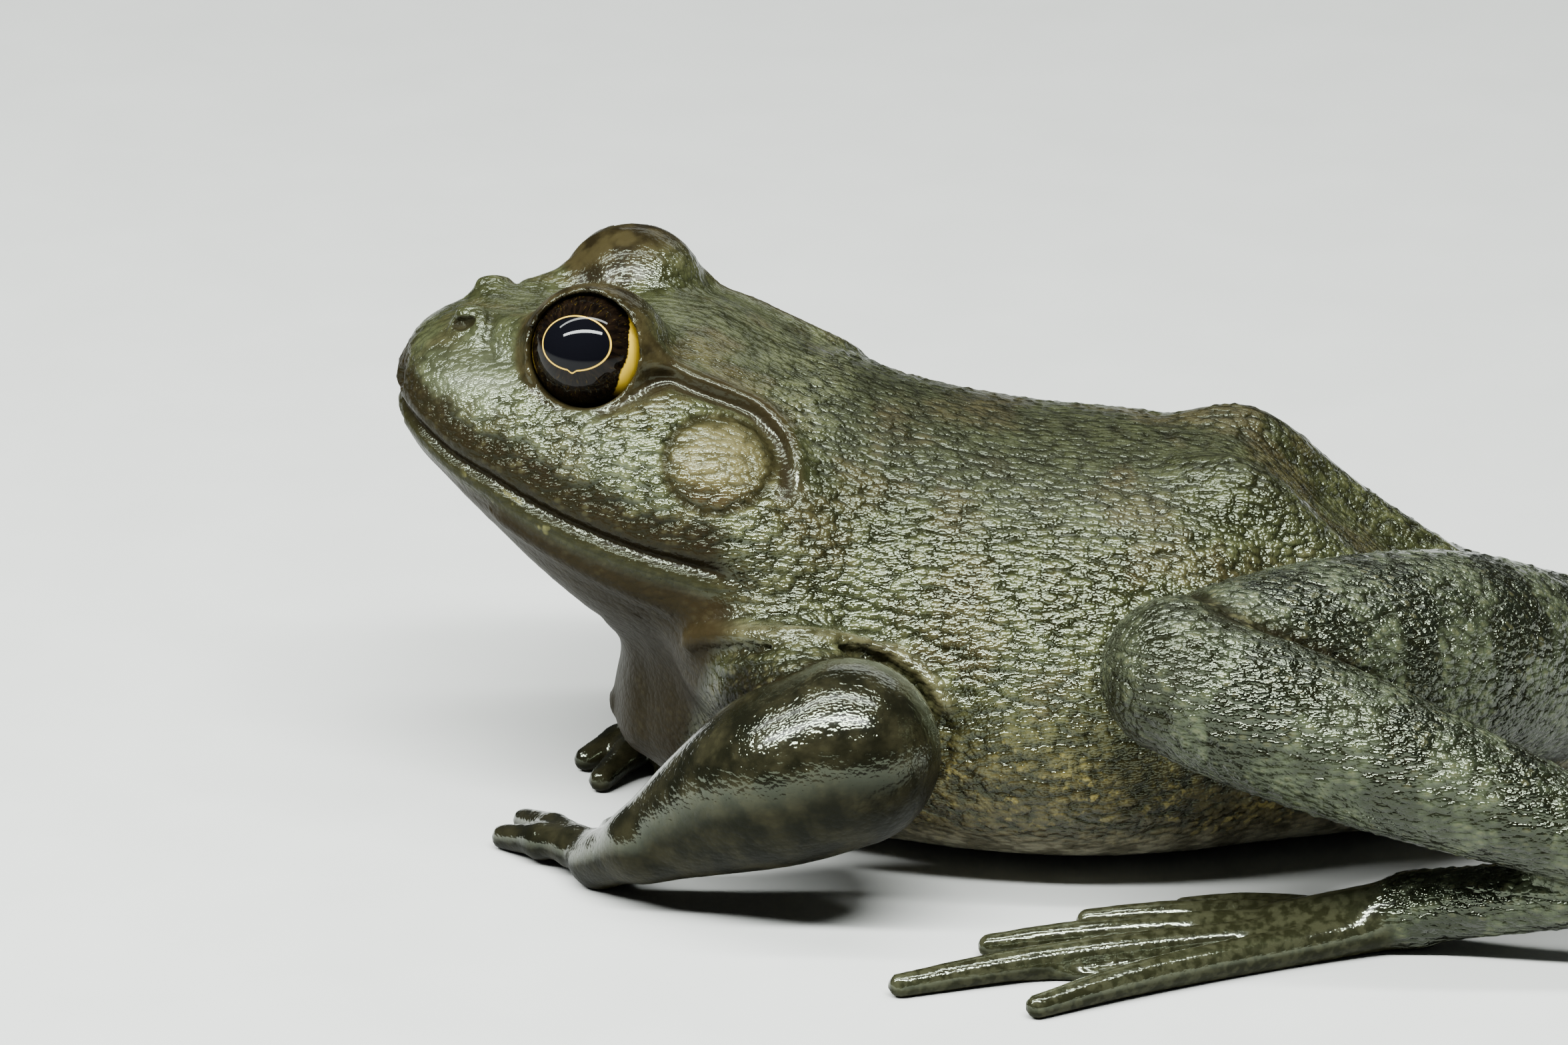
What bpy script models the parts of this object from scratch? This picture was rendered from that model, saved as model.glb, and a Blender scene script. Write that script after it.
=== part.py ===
"""An adult American bullfrog at life size, sitting with its head raised, as a still model.

The frog faces -Y, its left side is +X and the floor is Z = 0. Its form is one function of
space, below zero inside the flesh: lofts make the head and trunk, tubes make the limbs and
digits, and they melt into one another where real skin does. The same functions then share
the flesh out among the named parts, with a thin cut between neighbours. Lengths are in
millimetres, x to the left of the spine and y back from the tip of the snout. placed() turns
them into the model's own metres, whose origin is on the floor under the middle of its box.
"""

import math

import bmesh
import bpy
import numpy as np
import openvdb

MM = 0.001
MIDDLE = (-1.3, 76.4)    # the middle of the model's box, left of the spine and back

# Driving dimensions
SNOUT_TO_VENT = 145.0
CUT = 0.55               # gap between neighbouring parts
FAR = 12.0               # what a limb answers for a point that is nowhere near it

# Head, which is turned a little to the frog's right about a pivot in the neck
HEAD_TURN = math.radians(6.0)
NECK_PIVOT = (0.0, 50.0)
EYE_CENTRE = (12.2, 24.0, 56.6)
EYE_RADIUS = 6.6
EYE_PLAY = 0.45          # space between an eyeball and its socket
LID_THICKNESS = 1.2
EYE_FORWARD = math.radians(7.0)
EYE_UP = math.radians(10.0)
EARDRUM_CENTRE = (23.6, 41.0, 48.0)
EARDRUM_TILT = math.radians(36.0)
EARDRUM_RADIUS = 6.3
EARDRUM_DEPTH = 1.4
NOSTRIL = (5.8, 8.8, 56.9)

# Limb joints of the left side, as (outwards, back, up)
ARM_LEFT = {
    "upper": [(23, 43, 25), (34, 49, 23.5), (43.5, 54.5, 20.8)],
    "forearm": [(43.5, 54.5, 20.8), (43, 47.5, 17.6), (41.2, 39.5, 12.8), (39.5, 32, 8)],
    "hand": [(39.5, 32, 8), (36.5, 28.6, 5.4), (33, 26, 3.2)],
    "fingers": ((42, 16.5), (58, 19.5), (95, 15.5), (135, 12)),
}
LEG_LEFT = {
    "thigh": [(14, 132, 22.5), (23.5, 121, 26), (33, 109, 28.6), (41, 98.5, 30.6), (46, 92.4, 31.5)],
    "shank": [(46, 92.4, 31.8), (49.2, 103, 28.2), (51.2, 118, 23.2), (52, 134, 17.6), (52, 149, 12)],
    "ankle": [(52, 149, 12), (50, 136, 8.6), (46, 119, 4.8)],
    "toes": ((-18, 27), (-7, 37), (4, 48), (15, 60), (27, 48)),
}

# The right limbs lie lower and closer in, measured outwards in the same way
ARM_RIGHT = {
    "upper": [(23, 43, 24), (33, 50, 20), (41, 55, 16.5)],
    "forearm": [(41, 55, 16.5), (37, 49.5, 13.2), (29, 42.5, 9.4), (20.5, 36, 6.6)],
    "hand": [(20.5, 36, 6.6), (16.5, 33.2, 4.8), (12.5, 30.5, 3.2)],
    "fingers": ((40, 12.5), (64, 16.5), (92, 15), (128, 11.5)),
}
LEG_RIGHT = {
    "thigh": [(14, 131, 12), (25, 120, 11.6), (36, 108.5, 11.4), (42.5, 101.5, 11.2), (46, 96, 11)],
    "shank": [(46, 96, 11), (48, 107, 9.4), (46.5, 120, 8.4), (43.5, 135, 7), (41.5, 149, 6)],
    "ankle": [(41.5, 149, 6), (52, 137, 5), (57, 121, 4.6)],
    "toes": ((-26, 27), (-15, 37), (-5, 48), (5, 60), (16, 48)),
}

# Thicknesses along those joints
UPPER_ARM_RADII = (8.6, 7.9, 9.2)
FOREARM_RADII = (10.9, 10.2, 7.6, 4.6)
HAND_RADII = (4.4, 4.2, 3.9)
FINGER_RADII = (2.6, 2.0, 1.9, 1.5)
THIGH_RADII = (11.2, 13.0, 12.4, 10.4, 8.4)
LOW_THIGH_RADII = (10.2, 11.6, 11.3, 9.8, 8.4)
SHANK_RADII = (9.4, 9.0, 8.0, 6.2, 5.0)
LOW_SHANK_RADII = (8.4, 8.2, 7.4, 6.0, 5.0)
ANKLE_RADII = (5.0, 4.2, 4.2)
TOE_RADII = (2.6, 2.1, 2.0, 1.8, 1.4)
WEB_TOP = 1.35


def curve(*knots):
    """A smooth function through (place, value) knots, level beyond both ends."""
    places, values = np.array(knots, float).T
    slopes = np.gradient(values, places)

    def at(x):
        x = np.clip(x, places[0], places[-1])
        i = np.clip(np.searchsorted(places, x) - 1, 0, len(places) - 2)
        step = places[i + 1] - places[i]
        t = (x - places[i]) / step
        rise = values[i + 1] - values[i]
        bend = t * (1 - t) * (slopes[i] * (1 - t) - slopes[i + 1] * t) * step
        return values[i] + rise * t * t * (3 - 2 * t) + bend

    return at


# Outlines of the trunk, as (distance back from the snout, size)
TRUNK_TOP = curve(
    (24.5, 12), (26, 19), (30, 29), (36, 40), (43, 47.5), (50, 49.8), (56, 49.2), (62, 48.2),
    (72, 46.2), (84, 45.2), (92, 44.6), (97, 44.0), (101, 41.8), (107, 36.2), (113.5, 31),
    (120, 26.0), (128, 21.5), (135, 18), (140, 15.5), (SNOUT_TO_VENT, 12),
)
TRUNK_BOTTOM = curve(
    (24.5, 9), (26, 7.4), (30, 5), (36, 2.2), (44, 0.3), (52, -0.4), (110, -0.4), (118, 0.2),
    (126, 2.0), (134, 5.0), (140, 8.5), (SNOUT_TO_VENT, 11.5),
)
TRUNK_WIDTH = curve(
    (24.5, 0.5), (26, 7), (30, 13.5), (36, 20), (43, 25.5), (52, 30), (62, 34), (72, 36.5),
    (82, 36.5), (92, 33.5), (100, 29), (108, 25), (116, 21.5), (124, 18.5), (132, 14),
    (139, 8), (SNOUT_TO_VENT, 0.5),
)
TRUNK_MIDDLE = curve(
    (24.5, 10), (30, 13), (36, 16), (44, 18), (60, 18.5), (80, 18), (100, 17), (120, 14),
    (135, 12), (SNOUT_TO_VENT, 11.8),
)
TRUNK_ENDS = (24.5, SNOUT_TO_VENT)

# Outlines of the head
HEAD_TOP = curve(
    (-0.4, 49.6), (-0.2, 51.2), (0.2, 52.6), (1.2, 54.3), (3, 55.7), (6, 57), (10, 57.7), (15, 57.9),
    (22, 58.2), (30, 58.8), (36, 57.8), (42, 55), (50, 51), (58, 46),
)
HEAD_BOTTOM = curve(
    (-0.4, 48.6), (-0.2, 46.9), (0.2, 45.3), (1.2, 43.2), (3, 41), (7, 37.8), (12, 33.2), (18, 27.6),
    (26, 21.6), (36, 17.8), (46, 16.5), (58, 16),
)
HEAD_WIDTH = curve(
    (-0.4, 0.8), (-0.2, 3.6), (0.2, 6.0), (1.2, 9.0), (3, 12.2), (7, 16), (12, 19.2), (20, 22.8),
    (28, 25.6), (36, 27.8), (44, 29), (52, 28), (58, 24),
)
MOUTH = curve(
    (-0.4, 48.6), (4, 47.0), (7, 45.4), (10, 44.2), (14, 43.0), (19, 41.1), (26, 39.0),
    (33, 37.5), (38, 36.8), (44.5, 35.8), (58, 32),
)
HEAD_ENDS = (-0.4, 58.0)
MOUTH_CORNER = 45.0
CHEST_TOP = 19.5         # height of the line between throat and chest

# Raised lines of the head and trunk
FOLD = [
    (14.0, 31.0, 56.8), (14.7, 35.1, 55.4), (15.1, 37.9, 54.4), (14.8, 41.5, 53.1),
    (15.0, 44.6, 51.8), (16.7, 47.8, 49.5), (19.7, 49.5, 47.3), (22.6, 50.3, 45.2),
]
SNOUT_EDGE = [(5.2, 9.5, 55.4), (7.2, 13.5, 56), (9.0, 17.5, 56.8)]
HIP_BONE = [(9.5, 94, 41.6), (10.5, 99, 40.6), (12.5, 110, 31.5), (13, 122, 23)]


def placed(points):
    return (np.asarray(points) - np.array([*MIDDLE, 0])) * MM


def length(v):
    return np.sqrt(np.einsum("...i,...i->...", v, v))


def melt(a, b, reach):
    """The union of two forms, with a fillet about as wide as reach where they meet."""
    share = np.clip(0.5 + 0.5 * (b - a) / reach, 0, 1)
    return b + share * (a - b) - reach * share * (1 - share)


def carve(a, b, reach):
    """Form a with form b taken out of it, and the edge rounded."""
    return -melt(-a, b, reach)


def loft(p, outlines, powers, ends):
    """A form whose cross-section at each place is a rounded box, its two halves apart."""
    top, bottom, width, middle = outlines
    y = np.clip(p[:, 1], *ends)
    above = p[:, 2] > middle(y)
    tall = np.maximum(np.where(above, top(y) - middle(y), middle(y) - bottom(y)), 0.4)
    wide = np.maximum(width(y), 0.4)
    power = np.where(above, *powers)
    aside, aloft = np.abs(p[:, 0]), np.abs(p[:, 2] - middle(y))
    share = ((aside / wide) ** power + (aloft / tall) ** power) ** (1 / power)
    out = np.hypot(aside, aloft)
    return out - out / np.maximum(share, 1e-6) + np.abs(p[:, 1] - y)


def levelled(form, p, step=0.15):
    """The form divided by its slope, which makes it a distance close to its surface."""
    here = form(p)
    slope = np.zeros(len(p))
    for axis in np.eye(3):
        slope += ((form(p + step * axis) - here) / step) ** 2
    return here / np.sqrt(np.maximum(slope, 0.2))


def smooth_line(points, spans):
    """Points on a smooth line through the given ones, in spans pieces between each two."""
    points = np.array(points, float)
    place = np.arange(len(points), dtype=float)
    at = np.linspace(0, len(points) - 1, spans * (len(points) - 1) + 1)
    return np.stack([curve(*zip(place, column))(at) for column in points.T], axis=1)


def near(p, points, margin):
    """Which of the points p lie inside the box round the given points, grown by margin."""
    low, high = np.min(points, axis=0) - margin, np.max(points, axis=0) + margin
    return np.all((p > low) & (p < high), axis=1)


def tube(p, points, radii, spans=5, flat=1.0):
    """A round-ended tube along a smooth line, with its radius given at each of the points.

    flat over 1 presses the tube down in height by that factor.
    """
    line = smooth_line([(*q, r) for q, r in zip(points, radii)], spans)
    found = np.full(len(p), FAR)
    inside = near(p, line[:, :3], FAR + max(radii))
    q = p[inside]
    best = np.full(len(q), FAR)
    for a, b in zip(line[:-1], line[1:]):
        run = b[:3] - a[:3]
        t = np.clip((q - a[:3]) @ run / max(run @ run, 1e-9), 0, 1)
        gap = q - a[:3] - t[:, None] * run
        gap[:, 2] *= flat
        best = np.minimum(best, length(gap) - (a[3] + t * (b[3] - a[3])))
    found[inside] = best
    return found


def ball(p, centre, radius):
    return length(p - np.array(centre)) - radius


def ridge(p, points, height, breadth):
    """How far a fold of skin along the line of points lifts the surface."""
    away = tube(p, points, [0.0] * len(points), 3)
    return height * np.exp(-((away / breadth) ** 2))


def turned(p, back=False):
    """Points moved into the head's own straight frame or, with back, out of it."""
    angle = -HEAD_TURN if back else HEAD_TURN
    c, s = math.cos(angle), math.sin(angle)
    x, y = p[:, 0] - NECK_PIVOT[0], p[:, 1] - NECK_PIVOT[1]
    return np.stack(
        [c * x - s * y + NECK_PIVOT[0], s * x + c * y + NECK_PIVOT[1], p[:, 2]], axis=1
    )


def folded(p):
    """Points with the right side laid over the left, for what is the same on both."""
    return np.stack([np.abs(p[:, 0]), p[:, 1], p[:, 2]], axis=1)


def eye_opening(q):
    """The space in front of the left eyeball that the lids leave open."""
    axis = np.array([
        math.cos(EYE_UP) * math.cos(EYE_FORWARD),
        -math.cos(EYE_UP) * math.sin(EYE_FORWARD),
        math.sin(EYE_UP),
    ])
    offset = q - np.array(EYE_CENTRE)
    out = offset @ axis
    aside = length(offset - out[:, None] * axis)
    return np.maximum(1.4 - out, aside - (EYE_RADIUS - 0.5 + 0.3 * np.maximum(out, 0)))


def head_form(p):
    """The head and lower jaw in the head's own frame, with lids, nostrils and mouth line."""
    q = folded(p)
    outlines = (HEAD_TOP, HEAD_BOTTOM, HEAD_WIDTH, MOUTH)
    form = levelled(lambda r: loft(r, outlines, (2.15, 2.0), HEAD_ENDS), q)
    form = melt(form, tube(q, SNOUT_EDGE, (2.2, 2.4, 3.0)), 3.0)
    form = melt(form, ball(q, NOSTRIL, 1.5), 1.5)
    form = melt(form, ball(q, EYE_CENTRE, EYE_RADIUS + LID_THICKNESS), 2.4)
    form = form - ridge(q, FOLD, 1.4, 1.9)
    lip = q[:, 2] - MOUTH(q[:, 1])
    form = form + 0.9 * np.clip((MOUTH_CORNER - q[:, 1]) / 4, 0, 1) * np.exp(-((lip / 1.1) ** 2))
    form = carve(form, ball(q, (NOSTRIL[0] + 0.9, NOSTRIL[1] - 0.7, NOSTRIL[2] + 0.8), 0.9), 0.3)
    form = carve(form, ball(q, EYE_CENTRE, EYE_RADIUS + EYE_PLAY), 0.1)
    return carve(form, eye_opening(q), 0.4)


def eardrum_form(p):
    """A short cylinder across each cheek, in the head's own frame: where an eardrum lies."""
    offset = folded(p) - np.array(EARDRUM_CENTRE)
    out = offset @ np.array([math.cos(EARDRUM_TILT), 0, math.sin(EARDRUM_TILT)])
    aside = offset[:, 0] * math.sin(EARDRUM_TILT) - offset[:, 2] * math.cos(EARDRUM_TILT)
    return np.maximum(np.hypot(aside, offset[:, 1]) - EARDRUM_RADIUS, -out - 6)


def trunk_form(p):
    """The trunk, with the ridges that the hip bones raise and the dip between them."""
    q = folded(p)
    outlines = (TRUNK_TOP, TRUNK_BOTTOM, TRUNK_WIDTH, TRUNK_MIDDLE)
    form = levelled(lambda r: loft(r, outlines, (2.1, 2.5), TRUNK_ENDS), q)
    return melt(form, tube(q, HIP_BONE, (2.6, 3.6, 3.6, 4)), 5.0)


def digit_joints(base, angle, reach, shares, heights, bow=0.0):
    """The knuckles of a digit along the floor, its angle measured outwards from ahead."""
    joints = []
    for share, height in zip(shares, heights):
        way = math.radians(angle + bow * (share - 0.5))
        joints.append((
            base[0] + math.sin(way) * reach * share,
            base[1] - math.cos(way) * reach * share,
            height,
        ))
    return joints


def arm_forms(p, arm):
    """An upper arm, forearm and hand."""
    upper = tube(p, arm["upper"], UPPER_ARM_RADII)
    forearm = tube(p, arm["forearm"], FOREARM_RADII)
    hand = tube(p, arm["hand"], HAND_RADII, flat=1.2)
    for inwards, reach in arm["fingers"]:
        joints = digit_joints(
            arm["hand"][-1], -inwards, reach, (0.0, 0.3, 0.62, 1.0), (2.8, 3.2, 2.7, 1.4)
        )
        hand = melt(hand, tube(p, joints, FINGER_RADII), 1.2)
    return {"upper_arm": upper, "forearm": forearm, "hand": hand}


def toe_joints(leg, toe):
    return digit_joints(
        leg["ankle"][-1], *toe, (0.0, 0.3, 0.55, 0.78, 1.0), (3.4, 2.4, 2.2, 1.9, 1.3), 7.0
    )


def outline_distance(p, corners):
    """Signed distance in plan to a closed outline, negative inside it."""
    found = np.full(len(p), 1e9)
    inside = np.zeros(len(p), bool)
    for a, b in zip(corners, np.roll(corners, -1, axis=0)):
        run = b - a
        t = np.clip((p[:, :2] - a) @ run / (run @ run), 0, 1)
        found = np.minimum(found, length(p[:, :2] - a - t[:, None] * run))
        crosses = (a[1] > p[:, 1]) != (b[1] > p[:, 1])
        side = p[:, 0] - a[0] < (p[:, 1] - a[1]) * run[0] / (run[1] or 1.0)
        inside ^= crosses & side
    return np.where(inside, -found, found)


def web_form(p, leg):
    """The webs between the five toes, as one thin sheet on the floor, scalloped between tips."""
    lines = [np.array(toe_joints(leg, toe))[:, :2] for toe in leg["toes"]]
    corners = [lines[0][0], lines[0][3]]
    for first, second in zip(lines[:-1], lines[1:]):
        corners += [0.3 * (first[3] + second[3]) + 0.2 * (first[2] + second[2]), second[3]]
    found = np.full(len(p), FAR)
    inside = near(p, [(*corner, 1.0) for corner in corners], FAR)
    plan = outline_distance(p[inside], np.array(corners))
    found[inside] = np.maximum(plan, p[inside, 2] - WEB_TOP)
    return found


def leg_forms(p, leg, thigh_radii, shank_radii):
    """A thigh, shank, ankle and webbed foot."""
    thigh = tube(p, leg["thigh"], thigh_radii)
    shank = tube(p, leg["shank"], shank_radii)
    ankle = tube(p, leg["ankle"], ANKLE_RADII)
    foot = tube(p, [leg["ankle"][-1], toe_joints(leg, leg["toes"][2])[1]], (4.2, 3.4), flat=1.2)
    for toe in leg["toes"]:
        foot = melt(foot, tube(p, toe_joints(leg, toe), TOE_RADII), 1.0)
    foot = melt(foot, web_form(p, leg), 0.8)
    return {"thigh": thigh, "shank": shank, "ankle": ankle, "foot": foot}


def joint_side(p, before, after):
    """Distance past a joint: negative towards the bone before it, positive after."""
    joint = np.array(after[0], float)
    back, ahead = np.array(before[-2]) - joint, np.array(after[1]) - joint
    way = ahead / length(ahead) - back / length(back)
    way = way / length(way)
    side = (p - joint) @ way
    return side * np.exp(-((length(p - joint) / 14) ** 2))


def side_forms(p, arm, leg, thigh_radii, shank_radii):
    """The limb forms of one side, and how far past each joint a point lies."""
    forms = arm_forms(p, arm) | leg_forms(p, leg, thigh_radii, shank_radii)
    joints = {
        ("upper_arm", "forearm"): joint_side(p, arm["upper"], arm["forearm"]),
        ("forearm", "hand"): joint_side(p, arm["forearm"], arm["hand"]),
        ("thigh", "shank"): joint_side(p, leg["thigh"], leg["shank"]),
        ("shank", "ankle"): joint_side(p, leg["shank"], leg["ankle"]),
        ("ankle", "foot"): joint_side(p, leg["ankle"], toe_joints(leg, leg["toes"][2])),
    }
    return forms, joints


SIDES = {
    "left": (1, ARM_LEFT, LEG_LEFT, THIGH_RADII, SHANK_RADII),
    "right": (-1, ARM_RIGHT, LEG_RIGHT, LOW_THIGH_RADII, LOW_SHANK_RADII),
}


def frog(p):
    """The whole frog's form, and the forms of the parts that make it up."""
    head = head_form(turned(p))
    trunk = trunk_form(p)
    whole = melt(head, trunk, 5.0)
    limbs = {}
    for side, (sign, *shape) in SIDES.items():
        forms, joints = side_forms(p * np.array([sign, 1, 1]), *shape)
        limbs[side] = (forms, joints)
        whole = melt(whole, forms["upper_arm"], 5.0)
        arm = melt(forms["forearm"], forms["hand"], 2.5)
        whole = melt(whole, arm, 0.8)
        rump = np.clip((p[:, 1] - 112) / 20, 0, 1)
        whole = melt(whole, forms["thigh"], 1.2 + 4 * rump * rump * (3 - 2 * rump))
        lower = melt(melt(forms["shank"], forms["ankle"], 1.5), forms["foot"], 2.0)
        whole = melt(whole, lower, 0.8)
    return np.maximum(whole, -p[:, 2]), head, trunk, limbs


def shared_out(p):
    """Every part's own form by name, after the flesh has been cut along the joints."""
    whole, head, trunk, limbs = frog(p)
    q = turned(p)
    neck = 0.94 * (q[:, 1] - 52 + (52 - q[:, 2]) * 0.35)
    front = np.maximum(neck, CHEST_TOP - q[:, 2])
    mouth = q[:, 2] - MOUTH(q[:, 1])
    drum = eardrum_form(q)
    inner = -whole - EARDRUM_DEPTH
    core = np.minimum(head, trunk)
    nearest = np.full(len(p), FAR)
    found = {}
    for side, (forms, joints) in limbs.items():
        for name, form in forms.items():
            nearest = np.minimum(nearest, form)
            cut = (form - core) / 1.5
            for other in forms:
                if other == name:
                    continue
                rival = (form - forms[other]) / 1.5
                if (name, other) in joints:
                    rival = rival + joints[name, other]
                elif (other, name) in joints:
                    rival = rival - joints[other, name]
                cut = np.maximum(cut, rival)
            found[f"{name}_{side}"] = cut
    away = (core - nearest) / 1.5
    for side, sign in (("left", 1), ("right", -1)):
        found[f"eardrum_{side}"] = np.maximum.reduce([drum, inner, -sign * q[:, 0]])
    pocket = np.maximum(drum - CUT, inner - CUT)
    found["head"] = np.maximum.reduce([front, -mouth, away, CUT - pocket])
    found["lower_jaw"] = np.maximum.reduce([front, mouth, away])
    found["trunk"] = np.maximum(-front, away)
    return {name: np.maximum(whole, cut + CUT / 2) for name, cut in found.items()}


def largest_piece(mesh):
    """Leave only the piece of the mesh with the most faces."""
    work = bmesh.new()
    work.from_mesh(mesh)
    work.faces.ensure_lookup_table()
    seen, pieces = set(), []
    for face in work.faces:
        if face.index in seen:
            continue
        seen.add(face.index)
        piece, queue = [], [face]
        while queue:
            one = queue.pop()
            piece.append(one)
            for edge in one.edges:
                for other in edge.link_faces:
                    if other.index not in seen:
                        seen.add(other.index)
                        queue.append(other)
        pieces.append(piece)
    pieces.sort(key=len)
    bmesh.ops.delete(work, geom=[f for piece in pieces[:-1] for f in piece], context="FACES")
    work.to_mesh(mesh)
    work.free()


def material(name, colour, roughness):
    made = bpy.data.materials.new(name)
    made.use_nodes = True
    surface = made.node_tree.nodes["Principled BSDF"]
    surface.inputs["Base Color"].default_value = (*colour, 1)
    surface.inputs["Roughness"].default_value = roughness
    made.diffuse_color = (*colour, 1)
    return made


def add(name, mesh, colour, roughness):
    thing = bpy.data.objects.new(name, mesh)
    bpy.context.scene.collection.objects.link(thing)
    mesh.materials.clear()
    mesh.materials.append(material(name, colour, roughness))
    return thing


def sampled(names, low, high, voxel):
    """The named parts' forms on a fine grid, worked out only inside and near the flesh."""
    low = np.array(low, float)
    side = 4 * voxel
    count = np.ceil((np.array(high) - low) / side).astype(int)
    index = np.argwhere(np.ones(count, bool))
    rough = np.concatenate([
        frog(low + side * part + 1.5 * voxel)[0] for part in np.array_split(index, 4)
    ])
    index = index[rough < 1.1 * side + 1]
    steps = voxel * np.argwhere(np.ones((4, 4, 4), bool))
    values = {name: [] for name in names}
    for part in np.array_split(index, max(1, len(index) // 3000)):
        forms = shared_out((low + side * part[:, None] + steps).reshape(-1, 3))
        for name in names:
            values[name].append(forms[name].astype(np.float32).reshape(-1, 4, 4, 4))
    for name in names:
        grid = np.full((*count, 4, 4, 4), side, np.float32)
        grid[tuple(index.T)] = np.concatenate(values[name])
        yield name, grid.transpose(0, 3, 1, 4, 2, 5).reshape(4 * count)


def flesh(names, low, high, voxel, faces):
    """Add the named parts as closed meshes of about so many faces each."""
    for name, grid in sampled(names, low, high, voxel):
        volume = openvdb.FloatGrid(4 * voxel)
        volume.copyFromArray(np.ascontiguousarray(grid))
        volume.transform = openvdb.createLinearTransform(voxel)
        points, quads = volume.convertToQuads(0.0)
        mesh = bpy.data.meshes.new(name)
        mesh.from_pydata(placed(points + np.array(low)).tolist(), [], quads.tolist())
        largest_piece(mesh)
        mesh.shade_smooth()
        thing = add(name, mesh, COLOURS[name.split("_")[0]], 0.5)
        fewer = thing.modifiers.new("Fewer faces", "DECIMATE")
        fewer.ratio = min(1.0, faces[name] / (2 * len(mesh.polygons)))


# Build
for leftover in list(bpy.data.objects):
    bpy.data.objects.remove(leftover)

COLOURS = {
    "head": (0.20, 0.22, 0.07), "lower": (0.26, 0.27, 0.10), "trunk": (0.16, 0.15, 0.06),
    "eardrum": (0.22, 0.19, 0.07), "upper": (0.15, 0.12, 0.06), "forearm": (0.15, 0.13, 0.07),
    "hand": (0.16, 0.14, 0.08), "thigh": (0.10, 0.11, 0.05), "shank": (0.10, 0.11, 0.05),
    "ankle": (0.12, 0.12, 0.06), "foot": (0.13, 0.12, 0.06), "eye": (0.06, 0.03, 0.01),
}
BODY_FACES = {
    "trunk": 1500, "upper_arm": 260, "forearm": 340, "hand": 420, "thigh": 380, "shank": 340,
    "ankle": 180, "foot": 640,
}
body = {"trunk": BODY_FACES["trunk"]}
for part_side in SIDES:
    for part_name, part_faces in BODY_FACES.items():
        if part_name != "trunk":
            body[f"{part_name}_{part_side}"] = part_faces
flesh(list(body), (-82, -4, -2.5), (82, 158, 62), 0.9, body)

face_parts = {"head": 2000, "lower_jaw": 420, "eardrum_left": 110, "eardrum_right": 110}
flesh(list(face_parts), (-38, -4, 14), (38, 58, 70), 0.6, face_parts)

for part_side, (sign, *_) in SIDES.items():
    ball_mesh = bpy.data.meshes.new(f"eye_{part_side}")
    shape = bmesh.new()
    bmesh.ops.create_icosphere(shape, subdivisions=3, radius=EYE_RADIUS * MM)
    place = turned(np.array([EYE_CENTRE]) * np.array([sign, 1, 1]), back=True)[0]
    bmesh.ops.translate(shape, verts=shape.verts, vec=placed(place))
    shape.to_mesh(ball_mesh)
    shape.free()
    ball_mesh.shade_smooth()
    add(f"eye_{part_side}", ball_mesh, COLOURS["eye"], 0.1)
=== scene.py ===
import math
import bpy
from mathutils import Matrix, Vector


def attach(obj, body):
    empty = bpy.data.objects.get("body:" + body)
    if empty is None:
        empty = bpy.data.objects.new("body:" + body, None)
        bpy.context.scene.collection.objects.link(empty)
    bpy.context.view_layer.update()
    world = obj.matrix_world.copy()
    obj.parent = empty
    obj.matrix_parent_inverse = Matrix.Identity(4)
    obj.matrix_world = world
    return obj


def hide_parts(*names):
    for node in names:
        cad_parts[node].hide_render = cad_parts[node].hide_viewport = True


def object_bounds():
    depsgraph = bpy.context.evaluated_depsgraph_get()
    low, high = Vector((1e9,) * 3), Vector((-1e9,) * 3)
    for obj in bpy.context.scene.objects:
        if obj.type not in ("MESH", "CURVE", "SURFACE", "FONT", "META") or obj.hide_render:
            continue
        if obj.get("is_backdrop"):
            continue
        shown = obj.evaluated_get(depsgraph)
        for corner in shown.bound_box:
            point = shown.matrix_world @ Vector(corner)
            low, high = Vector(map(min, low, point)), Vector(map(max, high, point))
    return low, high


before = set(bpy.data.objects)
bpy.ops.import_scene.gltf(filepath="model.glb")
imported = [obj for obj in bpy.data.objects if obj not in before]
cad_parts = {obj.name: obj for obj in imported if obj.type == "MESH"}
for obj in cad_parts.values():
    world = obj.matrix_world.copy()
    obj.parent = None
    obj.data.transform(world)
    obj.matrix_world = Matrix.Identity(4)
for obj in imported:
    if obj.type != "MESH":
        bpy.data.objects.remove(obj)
cad_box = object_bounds()

# %% [markdown]
# # A bullfrog with its head raised
# This notebook dresses a solid, life-size bullfrog in its real skin. The solid parts that are
# loaded above give the sizes and places. They are cut apart where a real frog is whole, so the
# skin is grown again here as one closed sheet, then roughened with warts and painted with
# nodes. The eyeballs stay separate, because they are wet, smooth and slide under the lids.

# %% Tools and units
from concurrent.futures import ThreadPoolExecutor

import bmesh
import bpy
import numpy as np
import openvdb
from mathutils import Vector

MM = 0.001
low, high = cad_box
centre = (low + high) / 2


def in_scene(name, data):
    """A new object that holds the data, linked to the scene."""
    made = bpy.data.objects.new(name, data)
    bpy.context.scene.collection.objects.link(made)
    return made


print("solid model, mm:", [round(side / MM, 1) for side in high - low])

# %% [markdown]
# ## The camera
# The frog is seen from its left side and a little from above, from over a metre away with
# a long lens, so that near and far limbs keep nearly the same scale. The camera comes first,
# because every later choice of detail depends on what it sees.

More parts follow.
